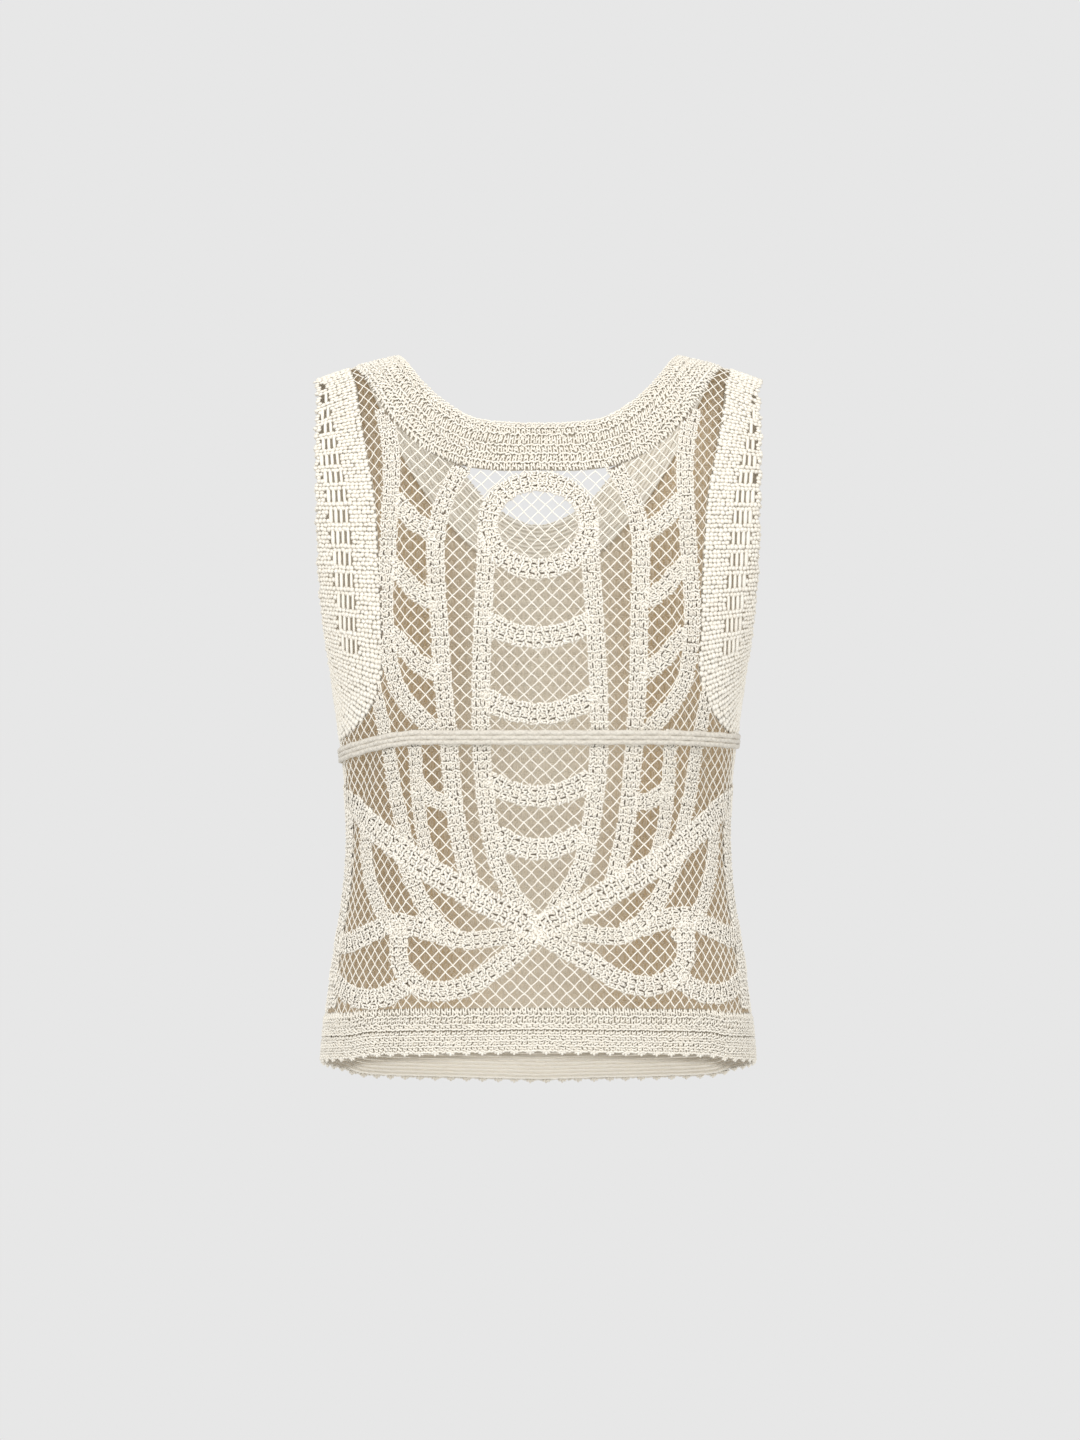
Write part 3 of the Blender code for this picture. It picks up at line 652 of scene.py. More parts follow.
# The same tapes without their ends, whose round rims then end where the stitches do
WORKED = [(width, shorter(line, TAPE_TRIM * width)) for width, line in TAPES]
OUTLINE = {side: panel_outline(side) for side in (BACK, FRONT)}
print(len(TAPES), "tapes,", round(sum(reach_along(line)[-1] for _, line in TAPES)), "mm")

# %% [markdown]
# ## Cotton
#
# The yarn is matte cream cotton. Its colour wanders a little from stitch to stitch and over
# larger patches, and its ply shows as fine slanting ridges. Both come from values stored with
# the stitches, so they stay put from any view. Shade is painted into the colour too: a share
# stored with each point mixes it towards a darker shade colour.

# %% Cotton materials
# Scale of the patches and of the fibre, ply lines in a turn and their share of the bump, then
# the bump's strength and its height in metres
PATCH_SCALE, FIBRE_SCALE, PLY_LINES, PLY_SHARE = 26, 900, 7, 0.25
BUMP, BUMP_TALL = 0.5, 0.0004
LOOKS = {"Roughness": 0.88, "Sheen Weight": 0.12, "Sheen Roughness": 0.6}


def fill(node, inputs):
    """Sets a node's inputs, or links them where a socket is given. Returns its outputs."""
    for key, given in inputs.items():
        if isinstance(given, bpy.types.NodeSocket):
            node.id_data.links.new(given, node.inputs[key])
        else:
            node.inputs[key].default_value = given
    return node.outputs


def cotton(name, colour, warm, shade):
    """Principled cotton: colour mixed towards a warmer one by the stitch's tone and soft noise, then
    towards a painted shade by the share stored with the yarn, with a bump of slanting ply lines and fibre."""
    material = bpy.data.materials.new(name)
    material.use_nodes = True

    def node(kind, inputs, **settings):
        """The outputs of a new node with its settings and inputs."""
        made = material.node_tree.nodes.new("ShaderNode" + kind)
        for key, value in settings.items():
            setattr(made, key, value)
        return fill(made, inputs)

    def stored(label):
        """A value stored with the yarn's points."""
        return node("Attribute", {}, attribute_name=label)["Fac"]

    place = node("TexCoord", {})["Object"]
    patch = node("TexNoise", {"Vector": place, "Scale": PATCH_SCALE, "Detail": 3})["Fac"]
    warmth = node("Math", {0: patch, 1: stored("tone")}, operation="MULTIPLY")[0]
    tint = {"A": (*colour, 1), "B": (*warm, 1), "Factor": warmth}
    tint = node("Mix", tint, data_type="RGBA")["Result"]
    tint = {"A": tint, "B": (*shade, 1), "Factor": stored("painted_shade")}
    tint = node("Mix", tint, data_type="RGBA")["Result"]
    ply = node("Math", {0: stored("twist"), 1: 2 * math.pi * PLY_LINES}, operation="MULTIPLY")[0]
    wave = node("Math", {0: ply}, operation="SINE")[0]
    fibre = node("TexNoise", {"Vector": place, "Scale": FIBRE_SCALE, "Detail": 4})["Fac"]
    height = node("Math", {0: wave, 1: PLY_SHARE, 2: fibre}, operation="MULTIPLY_ADD")[0]
    bump = node("Bump", {"Strength": BUMP, "Distance": BUMP_TALL, "Height": height})["Normal"]
    fill(material.node_tree.nodes["Principled BSDF"], {"Base Color": tint, "Normal": bump, **LOOKS})
    return material


# Each cotton: its colour, the warmer colour of its tone, and its painted shade colour
COTTON = {
    "lace_back": cotton("lace cotton", (0.96, 0.92, 0.83), (0.89, 0.83, 0.72), (0.36, 0.30, 0.23)),
    "plain_front": cotton("front cotton", (0.94, 0.90, 0.80), (0.87, 0.81, 0.69), (0.54, 0.41, 0.255)),
    "edging": cotton("band cotton", (0.94, 0.90, 0.81), (0.87, 0.81, 0.70), (0.40, 0.35, 0.27)),
    # The cord is the same cream yarn as the rest; its colours are painted darker over the whole cord, a
    # shade that keeps its smooth face no brighter than the rest under the lamps
    "cord": cotton("cord cotton", (0.70, 0.66, 0.58), (0.63, 0.58, 0.50), (0.34, 0.29, 0.23)),
}

# %% [markdown]
# ## Lace tapes of the back
#
# A tape is four double crochets wide, worked back and forth, so every second row leans the other
# way. A double crochet is two legs side by side, a wrap across them and the two halves of its top.
# The outer stitches stand a little apart from the inner ones, which leaves a pair of pinholes in
# each row. Under each tape lies a thin strip whose outer face is painted dark with shade, so the
# pinholes read dark. Where tapes meet, the later one stops inside the edge of the earlier one.

# %% Lace tapes
# The four stitches of a row: places across and widths, as shares of the tape's width
STITCH_AT = (-0.39, -0.11, 0.11, 0.39)
STITCH_SHARE = np.array([0.225, 0.215, 0.215, 0.225])
TAPE_PLUMP, TAPE_FLAT = 1.35, 0.75
TAPE_OUT = 1.0
# A stitch deeper than this inside an earlier tape is left out
MEET = 3.2
# Small cross stitches that shorten the pinholes: place across as a share of the tape's width,
# place along as a share of the row, then length, width, thickness and shift at random
BRIDGE_AT, BRIDGE_ALONG = (-0.2525, 0.2525), -0.33
BRIDGE_LONG, BRIDGE_WIDE, BRIDGE_THICK, BRIDGE_SHAKE = 2.8, 2.5, 1.8, 0.35
# A thin strip under each tape, painted dark with shade on its outer face: its height over the cloth and its
# share of the tape's width
TAPE_SHADE_SHEET_OUT, TAPE_SHADE_SHEET_WIDE = -0.5, 0.84


def tape_places(width, line, shares, offset):
    """Places in each row of a tape at shares of its width, and the tape's way in each row."""
    station, way = evenly(line, max(2, int(round(reach_along(line)[-1] / ROW))), offset)
    return station[:, None] + across_way(way)[:, None] * (np.array(shares) * width)[None, :, None], way


def free(places, earlier):
    """Which places lie in the panel and not deep inside a tape laid before."""
    keep = inside(places, OUTLINE[BACK])
    return keep & (depth_in(places, earlier) < MEET) if earlier else keep


def tape_stitches(width, line, earlier):
    """Centre, direction, height, width and lean of each double crochet of one tape."""
    centre, way = tape_places(width, line, STITCH_AT, 0.5)
    tall = np.linalg.norm(np.gradient(centre, axis=0), axis=2).ravel()
    wide = np.tile(STITCH_SHARE * width, len(way))
    lean = np.repeat(np.where(np.arange(len(way)) % 2, 1.0, -1.0), len(STITCH_AT))
    centre, way = centre.reshape(-1, 2), np.repeat(way, len(STITCH_AT), axis=0)
    keep = free(centre, earlier)
    return [part[keep] for part in (centre, way, tall, wide, lean)]


def tape_bridges(width, line, earlier):
    """Centre and direction of the small cross stitches of one tape."""
    centre, way = tape_places(width, line, BRIDGE_AT, 0.5 + BRIDGE_ALONG)
    centre, way = centre.reshape(-1, 2), np.repeat(across_way(way), len(BRIDGE_AT), axis=0)
    centre = centre + rng.normal(0, BRIDGE_SHAKE, centre.shape)
    keep = free(centre, earlier)
    return centre[keep], way[keep]


def between(parts, low, high):
    """The entries of the parts whose place falls between the two."""
    keep = (parts[0][:, 1] >= low) & (parts[0][:, 1] < high)
    return [part[keep] for part in parts]


def tape_shade_strips():
    """Rows of the thin strip, painted dark with shade, under each stretch of tape inside the panel's
    outline.
    """
    strips = []
    for width, line in TAPES:
        half = across_way(unit(np.gradient(line, axis=0))) * width * TAPE_SHADE_SHEET_WIDE / 2
        keep = inside(line, OUTLINE[BACK])
        for run in np.split(np.arange(len(line)), np.flatnonzero(np.diff(keep.astype(int))) + 1):
            if keep[run[0]] and len(run) > 2:
                strips.append(np.hstack([line[run] - half[run], line[run] + half[run]]))
    return strips


def laid(work):
    """What the work gives for all tapes, each knowing the tapes laid before it, in one list."""
    found = [work(width, line, WORKED[:i]) for i, (width, line) in enumerate(TAPES)]
    return [np.concatenate(part) for part in zip(*found)]


stitches, bridges = laid(tape_stitches), laid(tape_bridges)
tapes = []
for name, low, high in (("upper", 0, CORD_MID), ("lower", CORD_MID, FALL[-1])):
    yarn = crochet(BACK, *between(stitches, low, high), TAPE_OUT, TAPE_PLUMP, TAPE_FLAT)
    crossing = between(bridges, low, high)
    yarn.append(beads(BACK, *crossing, BRIDGE_LONG, BRIDGE_WIDE, BRIDGE_THICK, TAPE_OUT))
    tapes.append(cloth(f"back_lace_tapes_{name}", yarn, COTTON["lace_back"]))
# The painted shade under the tapes: thin strips whose outer face is dark
strips = tape_shade_strips()
strip_yarn = [thin_strip(BACK, rows, 2, out=TAPE_SHADE_SHEET_OUT) for rows in strips]
tape_shade_sheet = cloth("back_lace_tapes_shade_sheet", strip_yarn, COTTON["lace_back"])

# %% [markdown]
# ## Net of the back
#
# The openings between the tapes hold a net of diamonds, knotted where the strands cross. Each
# side of a diamond bows a little and the knots wander, because the net is made by hand. It is left
# out under the tapes. A row of seam stitches down each side line joins it to the front.

# %% Net
# Height over the cloth, and how far the net runs in under a tape
NET_OUT, NET_UNDER = 0.2, 2.6
# Shift of a knot and bow of a strand at random, and points along a strand; a knot's length,
# width and thickness
KNOT_SHAKE, BOW, BOW_STEPS = 0.4, 0.35, 4
KNOT_SIZE = (1.8, 1.6, 1.4)
# Beyond this distance across, the diamonds are drawn narrower by this share
NARROW_FROM, NARROW = 100.0, 0.72
# Seam stitches down the side lines: distance in from the line, pitch, length, width, thickness
SEAM_IN, SEAM_PITCH, SEAM_LONG, SEAM_WIDE, SEAM_THICK = 0.8, 4.0, 5.0, 3.0, 2.6


def diamonds():
    """Knots on a staggered grid, half a diamond apart in both directions, and the strands from
    each to the two below it."""
    half, loop = DIAMOND / 2, OUTLINE[BACK]
    low, high = loop.min(0) / half, loop.max(0) / half
    most = int(high[0] / NARROW) + 1
    down = np.arange(int(low[1]) - 1, int(high[1]) + 2)
    i, j = np.meshgrid(np.arange(-most, most + 1), down, indexing="ij")
    beyond = np.clip(np.abs(i * half) - NARROW_FROM, 0, None)
    across = i * half - np.sign(i) * beyond * (1 - NARROW)
    knot = np.stack([across, j * half], axis=-1) + rng.uniform(-KNOT_SHAKE, KNOT_SHAKE, (*i.shape, 2))
    real = (i + j) % 2 == 0
    right, left = real[:-1, :-1], real[1:, :-1]
    starts = np.vstack([knot[:-1, :-1][right], knot[1:, :-1][left]])
    ends = np.vstack([knot[1:, 1:][right], knot[:-1, 1:][left]])
    middle = (starts + ends) / 2
    keep = inside(middle, loop) & (depth_in(middle, TAPES) < NET_UNDER)
    starts, ends, middle = starts[keep], ends[keep], middle[keep]
    bow = rng.uniform(-BOW, BOW, (len(middle), 2))
    t = np.linspace(0, 1, BOW_STEPS)[None, :, None]
    paths = starts[:, None] * (1 - t) + ends[:, None] * t + bow[:, None] * 4 * t * (1 - t)
    knots = np.unique(np.round(np.vstack([starts, ends]), 4), axis=0)
    return paths, knots


def side_seam(sign):
    """A row of beads down a side line from the armhole band to the hem band, each end to end
    with the next, which joins the net to the front."""
    fall = np.arange(ARMHOLE[-1][3], HEM[BACK][-1][1], SEAM_PITCH)
    centre = np.column_stack([sign * (side_line(BACK, fall) - SEAM_IN), fall])
    way = np.gradient(centre, axis=0)
    return beads(BACK, centre, way, SEAM_LONG, SEAM_WIDE, SEAM_THICK, 0)


paths, knots = diamonds()
finer = np.interp(np.abs(paths[:, :, 0]), (NARROW_FROM - 10, NARROW_FROM + 20), (1, NARROW))
net_yarn = [
    strands(BACK, paths, STRAND / 2 * finer, NET_OUT),
    beads(BACK, knots, (0, 1), *KNOT_SIZE, NET_OUT),
    side_seam(1),
    side_seam(-1),
]
net = cloth("back_lace_net", net_yarn, COTTON["lace_back"])
print(len(paths), "strands,", len(knots), "knots")

# %% [markdown]
# ## Plain front
#
# The front is plain double crochet in level rows. Its rows follow the hem, so that they stay
# whole to the bottom, and the posts of one row stand between those of the next. A thin ground
# closes the cloth between the posts. Its inside and the posts' undersides carry painted shade,
# which grows towards the sides and the hem.

# %% Plain front
# Posts to each side of the middle, and their widths, lengths and thickness; the same of the tops
FRONT_COLUMNS, POST_WIDE = 48, (0.98, 1.08)
POST_LONG, POST_THICK, TOP_LONG, TOP_WIDE, TOP_THICK = 1.08, 2.2, 1.25, 2.2, 2.4
# Painted shade on the front's inside: share in the middle, growth by the square of metres from
# the centre line, and what is added from the waist down to the hem, between two heights in metres
SHADE_MID, SHADE_GROWTH, SHADE_LOW = 0.28, 115.0, 0.24
HEM_TO_WAIST = (-0.48, -0.32)


def to_sides(yarn):
    """Yarn whose painted shade is scaled by a share that grows towards the sides and the hem, where
    the inside of a worn top falls into shade."""
    points = yarn[0]
    share = SHADE_MID + SHADE_GROWTH * points[:, 0] ** 2
    share = share + SHADE_LOW * np.interp(points[:, 2], HEM_TO_WAIST, (1, 0))
    return (*yarn[:5], yarn[5] * np.clip(share, 0, 1))


def front_rows():
    """Posts and top ridges row by row: a row's fall is its share of the hem seam's fall."""
    hem = hem_rows(FRONT)[:, 2:]
    deepest = hem[:, 1].max()
    count = int(round(deepest / FRONT_ROW))
    k, c = np.meshgrid(np.arange(count), np.arange(-FRONT_COLUMNS, FRONT_COLUMNS + 1), indexing="ij")
    across = (c + 0.5 * (k % 2)) * FRONT_POST
    scale = np.interp(across, hem[:, 0], hem[:, 1]) / deepest
    fall = (k + 0.5) * FRONT_ROW * scale
    centre = np.stack([across, fall], axis=-1).reshape(-1, 2)
    centre = centre[inside(centre, OUTLINE[FRONT])]
    wide = FRONT_POST * rng.uniform(*POST_WIDE, len(centre))
    posts = beads(FRONT, centre, (0, 1), FRONT_ROW * POST_LONG, wide, POST_THICK, 0)
    top = centre + (0, FRONT_ROW / 2)
    top = top[inside(top, OUTLINE[FRONT])]
    tops = beads(FRONT, top, (1, 0), FRONT_POST * TOP_LONG, TOP_WIDE, TOP_THICK, 0, (4, 1))
    return [posts, tops]


front = cloth("plain_front", [to_sides(yarn) for yarn in front_rows()], COTTON["plain_front"])
# The front's ground closes the cloth; its inside carries painted shade, more towards the sides
front_sheet = to_sides(ground(FRONT, OUTLINE[FRONT]))
front_ground = cloth("plain_front_ground", [front_sheet], COTTON["plain_front"])

# %% [markdown]
# ## Bands
#
# The bands are worked along the edges after the panels are joined. Those of the neck and the hem
# are rows of double crochet along the edge, listed from the seam out, each with its share of the
# width. On the hidden front they are closed by a thin ground, with fine level rows inside. Under
# the stitches of both sides lies a thin ground painted with shade on its outer face, fully at the
# back and in part at the front, so the gaps between stitches read dark.

# %% Rows of a band
# Level rows inside a band: pitch, radius, height over the cloth, points, shift at random
INNER_PITCH, INNER_RADIUS, INNER_OUT, INNER_STEPS, INNER_SHAKE = 2.7, 1.35, -1.2, 90, 0.12
# Least and most width of a band's stitch as shares of the common one, how much of it the yarn
# fills, and its height over the cloth
ROW_GAP, ROW_FILL, ROW_OUT = np.array([0.4, 1.8]), 0.97, 0.3
GROUND_SHARE = 0.96
GROUND_OUT = {BACK: -0.5, FRONT: -1.2}
# Share of painted shade on the ground's outer face, and the share of their painted shade that the
# stitches of the front's bands keep
OUTER_SHADE = {BACK: 1.0, FRONT: 0.4}
FRONT_SHADE_SHARE = 0.35
# Share of the painted shadow on a band's inside, and the distances below the cloth before it
# between which the painted shadow dies away
INNER_SHADE, SHADED = 0.9, (8.5, 12.5)


def band_row(side, rows, v0, v1, lean):
    """A row of double crochets between shares v0 and v1 of the band's width."""
    count = int(round(strip_length(rows) / STITCH_WIDE))
    u, middle = mids(count), (v0 + v1) / 2
    low, high = in_strip(rows, u, v0), in_strip(rows, u, v1)
    ahead, behind = in_strip(rows, u + 0.5 / count, middle), in_strip(rows, u - 0.5 / count, middle)
    gap = np.clip(np.linalg.norm(ahead - behind, axis=1), *ROW_GAP * STITCH_WIDE)
    tall = np.linalg.norm(high - low, axis=1)
    return crochet(side, (low + high) / 2, high - low, tall, gap * ROW_FILL, lean, ROW_OUT)


def inner_lines(side, rows, low_edge):
    """Level rows on a band's inside: strands along it, one for each pitch of its width. Down to
    the low edge of the cloth before it, and a little beyond, a shadow is painted on the inside,
    where the cloth before it keeps the light off."""
    wide = np.linalg.norm(rows[:, :2] - rows[:, 2:], axis=1).mean()
    count = int(wide / INNER_PITCH)
    u, v = np.meshgrid(np.linspace(0, 1, INNER_STEPS), mids(count))
    paths = in_strip(rows, u, v)
    paths = paths + rng.normal(0, INNER_SHAKE, paths.shape)
    below = paths[..., 1] - np.interp(u, np.linspace(0, 1, len(low_edge)), low_edge)
    painted_shade = np.interp(below, SHADED, (INNER_SHADE, 0))
    return strands(side, paths, INNER_RADIUS, INNER_OUT, painted_shade=painted_shade)


def less_painted_shade(yarn):
    """Yarn whose painted shade is scaled by one share, so that a band matches the front it borders."""
    return (*yarn[:5], yarn[5] * FRONT_SHADE_SHARE)


def band(side, rows, table, low_edge):
    """All rows of a band, each leaning the other way, and the closed inside of the front."""
    yarn = []
    for i, (v0, v1) in enumerate(table):
        yarn += band_row(side, rows, v0, v1, 1.0 if i % 2 else -1.0)
    if side == FRONT:
        yarn = [*map(less_painted_shade, yarn), inner_lines(side, rows, low_edge)]
    return yarn


def whole_band(name, rows_of, table, low_edge, edging=None):
    """Both sides of a band with its edging, and the thin ground of both sides, whose outer face is
    painted with shade.
    """
    yarn, strips = [], []
    for side in (BACK, FRONT):
        rows = rows_of(side)
        yarn += band(side, rows, table, low_edge)
        if edging:
            yarn.append(edging(side))
        strips.append(thin_strip(side, rows, 4, GROUND_SHARE, GROUND_OUT[side], (OUTER_SHADE[side], 0)))
    parts = ((f"{name}_crochet", yarn), (f"{name}_ground", strips))
    return [cloth(label, made, COTTON["edging"]) for label, made in parts]


# Neckband from the seam out: start share and end share of each row
NECK_TABLE = ((0.0, 0.17), (0.17, 0.35), (0.35, 0.53), (0.53, 0.76), (0.76, 0.90), (0.90, 0.99))
neckband, neck_ground = whole_band("neckband", neck_rows, NECK_TABLE, (0, 0))

# %% [markdown]
# ## Armhole bands
#
# The armhole bands are worked the other way, in short rows across the band. The part along the
# seam is dense. The part along the free edge has groups of slots between solid bars, which are
# long posts that stand apart. The hidden front of each band is dense all over, and its inside is
# painted with shade, so the slots of the back show dark.

# %% Armhole bands
# Pitch of the short rows and of the beads in them; of so many rows so many turn into slots
BAND_ROW, BEAD = 3.3, 3.5
SLOT_EVERY, SLOT_ROWS = 5, 3
# Width of the dense part, slots in a group and their pitch, share of the length that has slots
DENSE, SLOTS, SLOT_PITCH, SLOTS_UNTIL = 20.5, 4, 4.6, 0.84
# Of the short beads: turn and shift at random, overlap, height over the cloth and its random
# part, then the bounds of length and width as shares, and of thickness
ARM_TURN, ARM_SHIFT, ARM_OVERLAP, ARM_OUT, ARM_OUT_SHAKE = 0.3, 0.24, 1.32, 0.3, 0.12
ARM_LONG, ARM_WIDE, ARM_THICK = (0.92, 1.08), (1.12, 1.45), (2.2, 2.8)
ARM_GAP = (2.0, 6.0)
# Stretch of the slots past the dense part, and what stays whole along the free edge
SLOTTED, WHOLE_EDGE = (SLOTS + 0.4) * SLOT_PITCH, 1.2 * BEAD
# Long posts: start past the dense part, end before the edge, width from the dense part out, then
# thickness and height over the cloth
POST_START, POST_END = 1.2, 1.4 * BEAD
SLOT_POSTS = np.array([2.7, 2.9, 3.5, 4.0])
ARM_POST = (2.4, 0.4)
ARM_GROUND_OUT = {BACK: -0.3, FRONT: -0.9}


def armhole(side, sign):
    """Short beads in rows across the band. Some rows of each group turn into slots near the free
    edge, and the slots lie between long posts that stand apart."""
    rows = armhole_rows(side, sign)
    count = int(round(strip_length(rows) / BAND_ROW))
    u = mids(count)
    line = in_strip(rows, u, 1) - in_strip(rows, u, 0)
    wide = np.linalg.norm(line, axis=1)
    most = int(wide.max() / BEAD) + 1
    r, c = np.meshgrid(np.arange(count), np.arange(most), indexing="ij")
    at = (c + 0.5 + 0.25 * (r % 2)) * BEAD
    group = np.arange(int(count * SLOTS_UNTIL) // SLOT_EVERY)
    slotted = ((r % SLOT_EVERY) < SLOT_ROWS) & (r < len(group) * SLOT_EVERY) & (side == BACK)
    solid = (at < DENSE) | (at > DENSE + SLOTTED) | (wide[r] - at < WHOLE_EDGE)
    keep = (at < wide[r]) & (solid | ~slotted)
    place = in_strip(rows, u[r], np.clip(at / wide[r], 0, 1))
    gap = np.clip(np.linalg.norm(np.gradient(place, axis=0), axis=2), *ARM_GAP)
    size = keep.sum()
    ways = unit(line[r][keep])
    ways = ways + across_way(ways) * rng.normal(0, ARM_TURN, (size, 1))
    place = place[keep] + rng.normal(0, ARM_SHIFT, (size, 2))
    long = BEAD * ARM_OVERLAP * rng.uniform(*ARM_LONG, size)
    broad, thick = gap[keep] * rng.uniform(*ARM_WIDE, size), rng.uniform(*ARM_THICK, size)
    out = ARM_OUT * (1 + (r % 2)[keep]) + rng.normal(0, ARM_OUT_SHAKE, size)
    made = [beads(side, place, ways, long, broad, thick, out)]
    if side == FRONT:
        return [less_painted_shade(yarn) for yarn in made]
    mid = (group * SLOT_EVERY + SLOT_ROWS / 2) / count
    g, k = np.meshgrid(group, np.arange(SLOTS), indexing="ij")
    reach = np.interp(mid, u, wide)[g]
    at = DENSE + POST_START + (k + 0.5) * SLOT_PITCH
    keep = at < reach - POST_END
    share = np.clip(at / reach, 0, 1)
    place = in_strip(rows, mid[g], share)
    way = (in_strip(rows, mid[g] + 0.5 / count, share) - place)[keep]
    long = np.linalg.norm(way, axis=1) * 2 * (SLOT_ROWS + 1.0)
    made.append(beads(side, place[keep], way, long, SLOT_POSTS[k[keep]], *ARM_POST, (5, 5)))
    return made


def dense_rows(sign):
    """Rows of the dense part of an armhole band's back, from the seam out."""
    back = armhole_rows(BACK, sign)
    wide = np.linalg.norm(back[:, :2] - back[:, 2:], axis=1)
    share = np.clip(DENSE / wide, 0, GROUND_SHARE)[:, None]
    return np.hstack([back[:, 2:] + (back[:, :2] - back[:, 2:]) * share, back[:, 2:]])


def armhole_ground(name, sign):
    """The front's ground over the whole width, and the back's as far as the dense part goes. The
    back's outer face and the front's inner face are painted fully with shade, so the slots show
    dark; the front's outer face takes part of it.
    """
    back = thin_strip(BACK, dense_rows(sign), 3, out=ARM_GROUND_OUT[BACK])
    rows, shade = armhole_rows(FRONT, sign), (OUTER_SHADE[FRONT], 1)
    front = thin_strip(FRONT, rows, 4, GROUND_SHARE, ARM_GROUND_OUT[FRONT], shade)
    return cloth(name, [back, front], COTTON["edging"])


armhole_bands = []
for name, sign in (("right", 1), ("left", -1)):
    yarn = armhole(BACK, sign) + armhole(FRONT, sign)
    crochet_piece = cloth(f"armhole_band_{name}_crochet", yarn, COTTON["edging"])
    ground_piece = armhole_ground(f"armhole_band_{name}_ground", sign)
    armhole_bands.append((f"armhole_band_{name}", crochet_piece, ground_piece))

# %% [markdown]
# ## Hem band and picots
#
# The hem has two taller rows, a groove, and short dense rows. Its edge is a row of picots, each
# three stitches that fan out from one point.

# %% Hem band
HEM_TABLE = ((0, 0.19), (0.19, 0.38), (0.38, 0.485), (0.52, 0.64), (0.64, 0.76), (0.76, 0.88), (0.88, 1))
# Picots: length, then width, thickness and height over the cloth, the foot's share of the band's
# width, and how far from the foot a bead's middle stands as a share of its length
PICOT_TALL, PICOT_SIZE, PICOT_FOOT, PICOT_REACH = 3.4, (2.3, 2.2, 0.4), 0.98, 0.6
PICOT_FAN = np.radians([-52, 0, 52])


def picots(side):
    """Shells along the edge: three beads from one foot, turned by the fan's angles."""
    rows, u = hem_rows(side), mids(PICOTS // 2)
    down = unit(in_strip(rows, u, 1) - in_strip(rows, u, 0))[:, None]
    turn = PICOT_FAN[None, :, None]
    way = down * np.cos(turn) + across_way(down) * np.sin(turn)
    centre = (in_strip(rows, u, PICOT_FOOT)[:, None] + way * PICOT_TALL * PICOT_REACH).reshape(-1, 2)
    yarn = beads(side, centre, way.reshape(-1, 2), PICOT_TALL, *PICOT_SIZE, (5, 3))
    return yarn if side == BACK else less_painted_shade(yarn)


# The back's hem edge sets where the painted shadow inside the front hem lies
hem, hem_ground = whole_band("hem_band", hem_rows, HEM_TABLE, hem_rows(BACK)[:, 1], picots)

# %% [markdown]
# ## Waist cord
#
# The cord is flat: three columns of chain stitches side by side over three soft strands, laid
# over the tapes all round. It is level across the back and sinks more at the left side.

# %% Waist cord
# The three strands: places beside the path, then radius, flatness and points of each
CORD_AT = (-3.5, 0.0, 3.5)
CORD_RADIUS, CORD_FLAT, CORD_STEPS = 2.2, 0.55, 181
# Chain stitches: pitch, length, width, thickness, lean beside the way, height over the strands
CHAIN_PITCH, CHAIN_LONG, CHAIN_WIDE, CHAIN_THICK, CHAIN_LEAN, CHAIN_OUT = 4.4, 5.8, 3.5, 2.4, 0.22, 0.5
# Near the side lines the cord lies closer to the cloth, and its edges wander a little
CORD_CLOSER = 2.6
CORD_WAVE, CORD_WAVES = 0.25, 61


def cord_path(side, shift):
    """Level out to a share of the half, then eased down to the side line."""
    share = np.linspace(-1, 1, CORD_STEPS)
    way = np.clip((np.abs(share) - CORD_LEVEL) / (1 - CORD_LEVEL), 0, 1)
    drop = np.where(share > 0, CORD_RIGHT, CORD_LEFT) - CORD_MID
    fall = CORD_MID + drop * way**2 * (3 - 2 * way)
    wave = CORD_WAVE * np.sin(share * CORD_WAVES + shift)
    return np.column_stack([share * side_line(side, fall), fall + shift + wave])


cord_yarn = []
for side in (BACK, FRONT):
    paths = np.stack([cord_path(side, shift) for shift in CORD_AT])
    closer = CORD_CLOSER * np.linspace(-1, 1, CORD_STEPS) ** 8
    lift = np.broadcast_to(CORD_OUT - closer, paths.shape[:2])
    cord_yarn.append(strands(side, paths, CORD_RADIUS, lift, sides=6, flat=CORD_FLAT))
    for column, path in enumerate(paths):
        count = int(np.ptp(path[:, 0]) / CHAIN_PITCH)
        centre, way = evenly(path, count, 0.5 + 0.25 * (column % 2))
        lean = np.where(np.arange(count) % 2, CHAIN_LEAN, -CHAIN_LEAN)[:, None]
        share = mids(count) * 2 - 1
        out = CORD_OUT + CHAIN_OUT - CORD_CLOSER * share**8
        way = way + across_way(way) * lean
        chain = beads(side, centre, way, CHAIN_LONG, CHAIN_WIDE, CHAIN_THICK, out, (6, 3))
        cord_yarn.append(chain)
cord = cloth("waist_cord_braid", cord_yarn, COTTON["cord"])

# %% [markdown]
# ## Ties to the solids
#
# Every piece rides on the one body, stands for its solid and takes its finish from that solid's
# slot. The size of each flat cut is worked out and printed.

# %% Ties to the solids
TIES = {
    "back_panel": ("lace_back", [*tapes, tape_shade_sheet, net]),
    "front_panel": ("plain_front", [front, front_ground]),
    "neckband": ("edging", [neckband, neck_ground]),
    "hem_band": ("edging", [hem, hem_ground]),
    "waist_cord": ("cord", [cord]),
}
TIES.update({node: ("edging", pieces) for node, *pieces in armhole_bands})
for node, (slot, pieces) in TIES.items():
    for piece in pieces:
        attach(piece, "root")
        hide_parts(node)


def loop_area(loop):
    """Area inside a loop in square metres: half the sum of cross products round it."""
    a, b = loop, np.roll(loop, -1, axis=0)
    return abs((a[:, 0] * b[:, 1] - b[:, 0] * a[:, 1]).sum()) / 2 * MM**2


def cut(loop):
    """Width and length of the flat cut."""
    return tuple(float(x) * MM for x in loop.max(0) - loop.min(0))


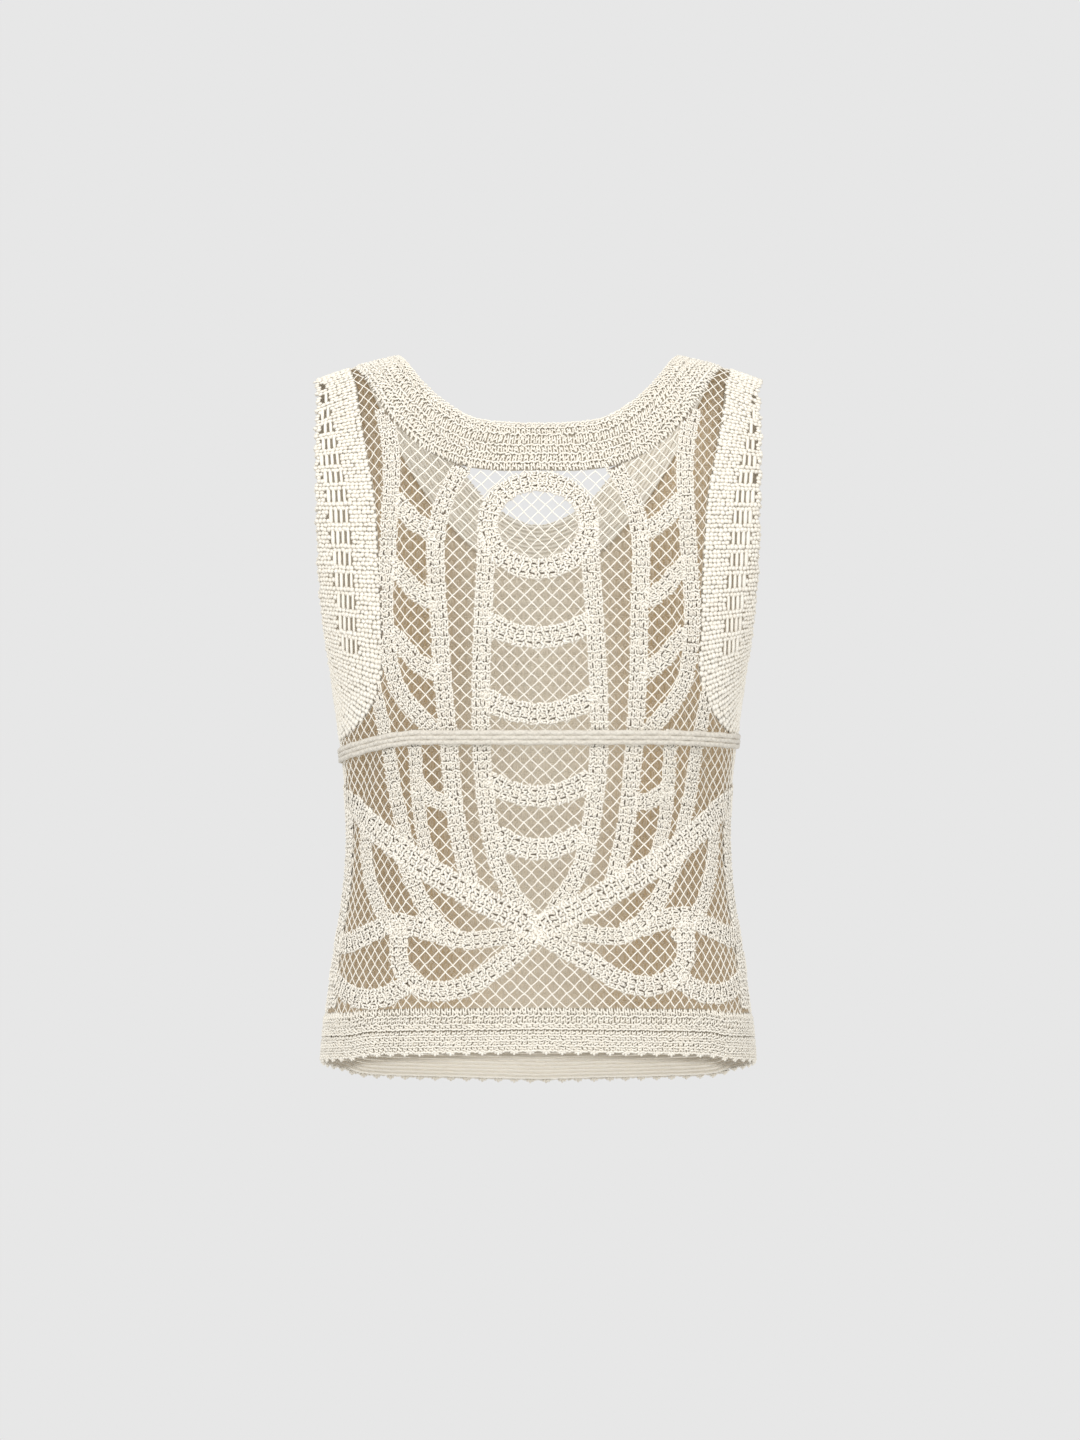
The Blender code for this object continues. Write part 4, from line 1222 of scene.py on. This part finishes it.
def straight(*strips):
    """Width and length of strips as one straight strip: their area over their length."""
    length = sum(strip_length(rows) for rows in strips) * MM
    return sum(loop_area(np.vstack([rows[:, :2], rows[::-1, 2:]])) for rows in strips) / length, length


tape_cut = straight(*strips)
neck_cut = straight(neck_rows(BACK), neck_rows(FRONT))
for (node, crochet_piece, ground_piece), sign in zip(armhole_bands, (1, -1)):
    arm_cut = straight(dense_rows(sign), armhole_rows(FRONT, sign))
hem_cut = straight(hem_rows(BACK), hem_rows(FRONT))
print("back", cut(OUTLINE[BACK]), loop_area(OUTLINE[BACK]), "tape", tape_cut)
print("neckband", neck_cut, "armhole band", arm_cut, "hem band", hem_cut)

# %% [markdown]
# ## Stage, light and camera
#
# The top floats before a plain pale grey backdrop, lit evenly with a broad soft light from the
# upper left. The camera stands far off and level with the middle of the cloth, with a long lens.

# %% Stage, light and camera
BACKDROP, FLOOR = 0.799, 0.78
scene = bpy.context.scene
world = bpy.data.worlds.new("pale grey")
scene.world = world
world.use_nodes = True
fill(world.node_tree.nodes["Background"], {"Color": (*[BACKDROP] * 3, 1), "Strength": 1})

bpy.ops.mesh.primitive_circle_add(vertices=96, radius=1.1, fill_type="NGON", location=(0, 0, -0.95))
floor = bpy.context.object
floor.name = "floor"
grey = bpy.data.materials.new("floor grey")
grey.use_nodes = True
fill(grey.node_tree.nodes["Principled BSDF"], {"Base Color": (*[FLOOR] * 3, 1), "Roughness": 0.9})
floor.data.materials.append(grey)


def area_light(name, at, size, power, aim=(0, 0, -0.27)):
    """A square lamp that faces the aim."""
    lamp = bpy.data.lights.new(name, "AREA")
    lamp.size = size
    lamp.energy = power
    obj = bpy.data.objects.new(name, lamp)
    scene.collection.objects.link(obj)
    obj.location = at
    obj.rotation_euler = (Vector(aim) - Vector(at)).to_track_quat("-Z", "Y").to_euler()


area_light("key", (-1.4, -2.6, 1.3), 1.4, 41)
area_light("fill", (1.8, -2.2, -0.45), 1.8, 17)
area_light("top", (0.0, -0.9, 1.3), 0.8, 5.5, (0, 0.06, -0.12))

# Metres: how far off the camera stands, how tall its view is at the cloth, and its middle
DISTANCE, TO_CLOTH, VIEW_TALL = 9.0, 8.94, 1.08
CENTRE = (0.0013, 0.0, -0.275)
SENSOR = 36
camera = bpy.data.cameras.new("camera")
camera.sensor_width = SENSOR
camera.lens = SENSOR * TO_CLOTH / VIEW_TALL
camera.clip_end = 50
camera_object = bpy.data.objects.new("camera", camera)
scene.collection.objects.link(camera_object)
camera_object.location = (CENTRE[0], -DISTANCE, CENTRE[2])
camera_object.rotation_euler = (math.pi / 2, 0, 0)
scene.camera = camera_object
scene.view_settings.view_transform = "Standard"
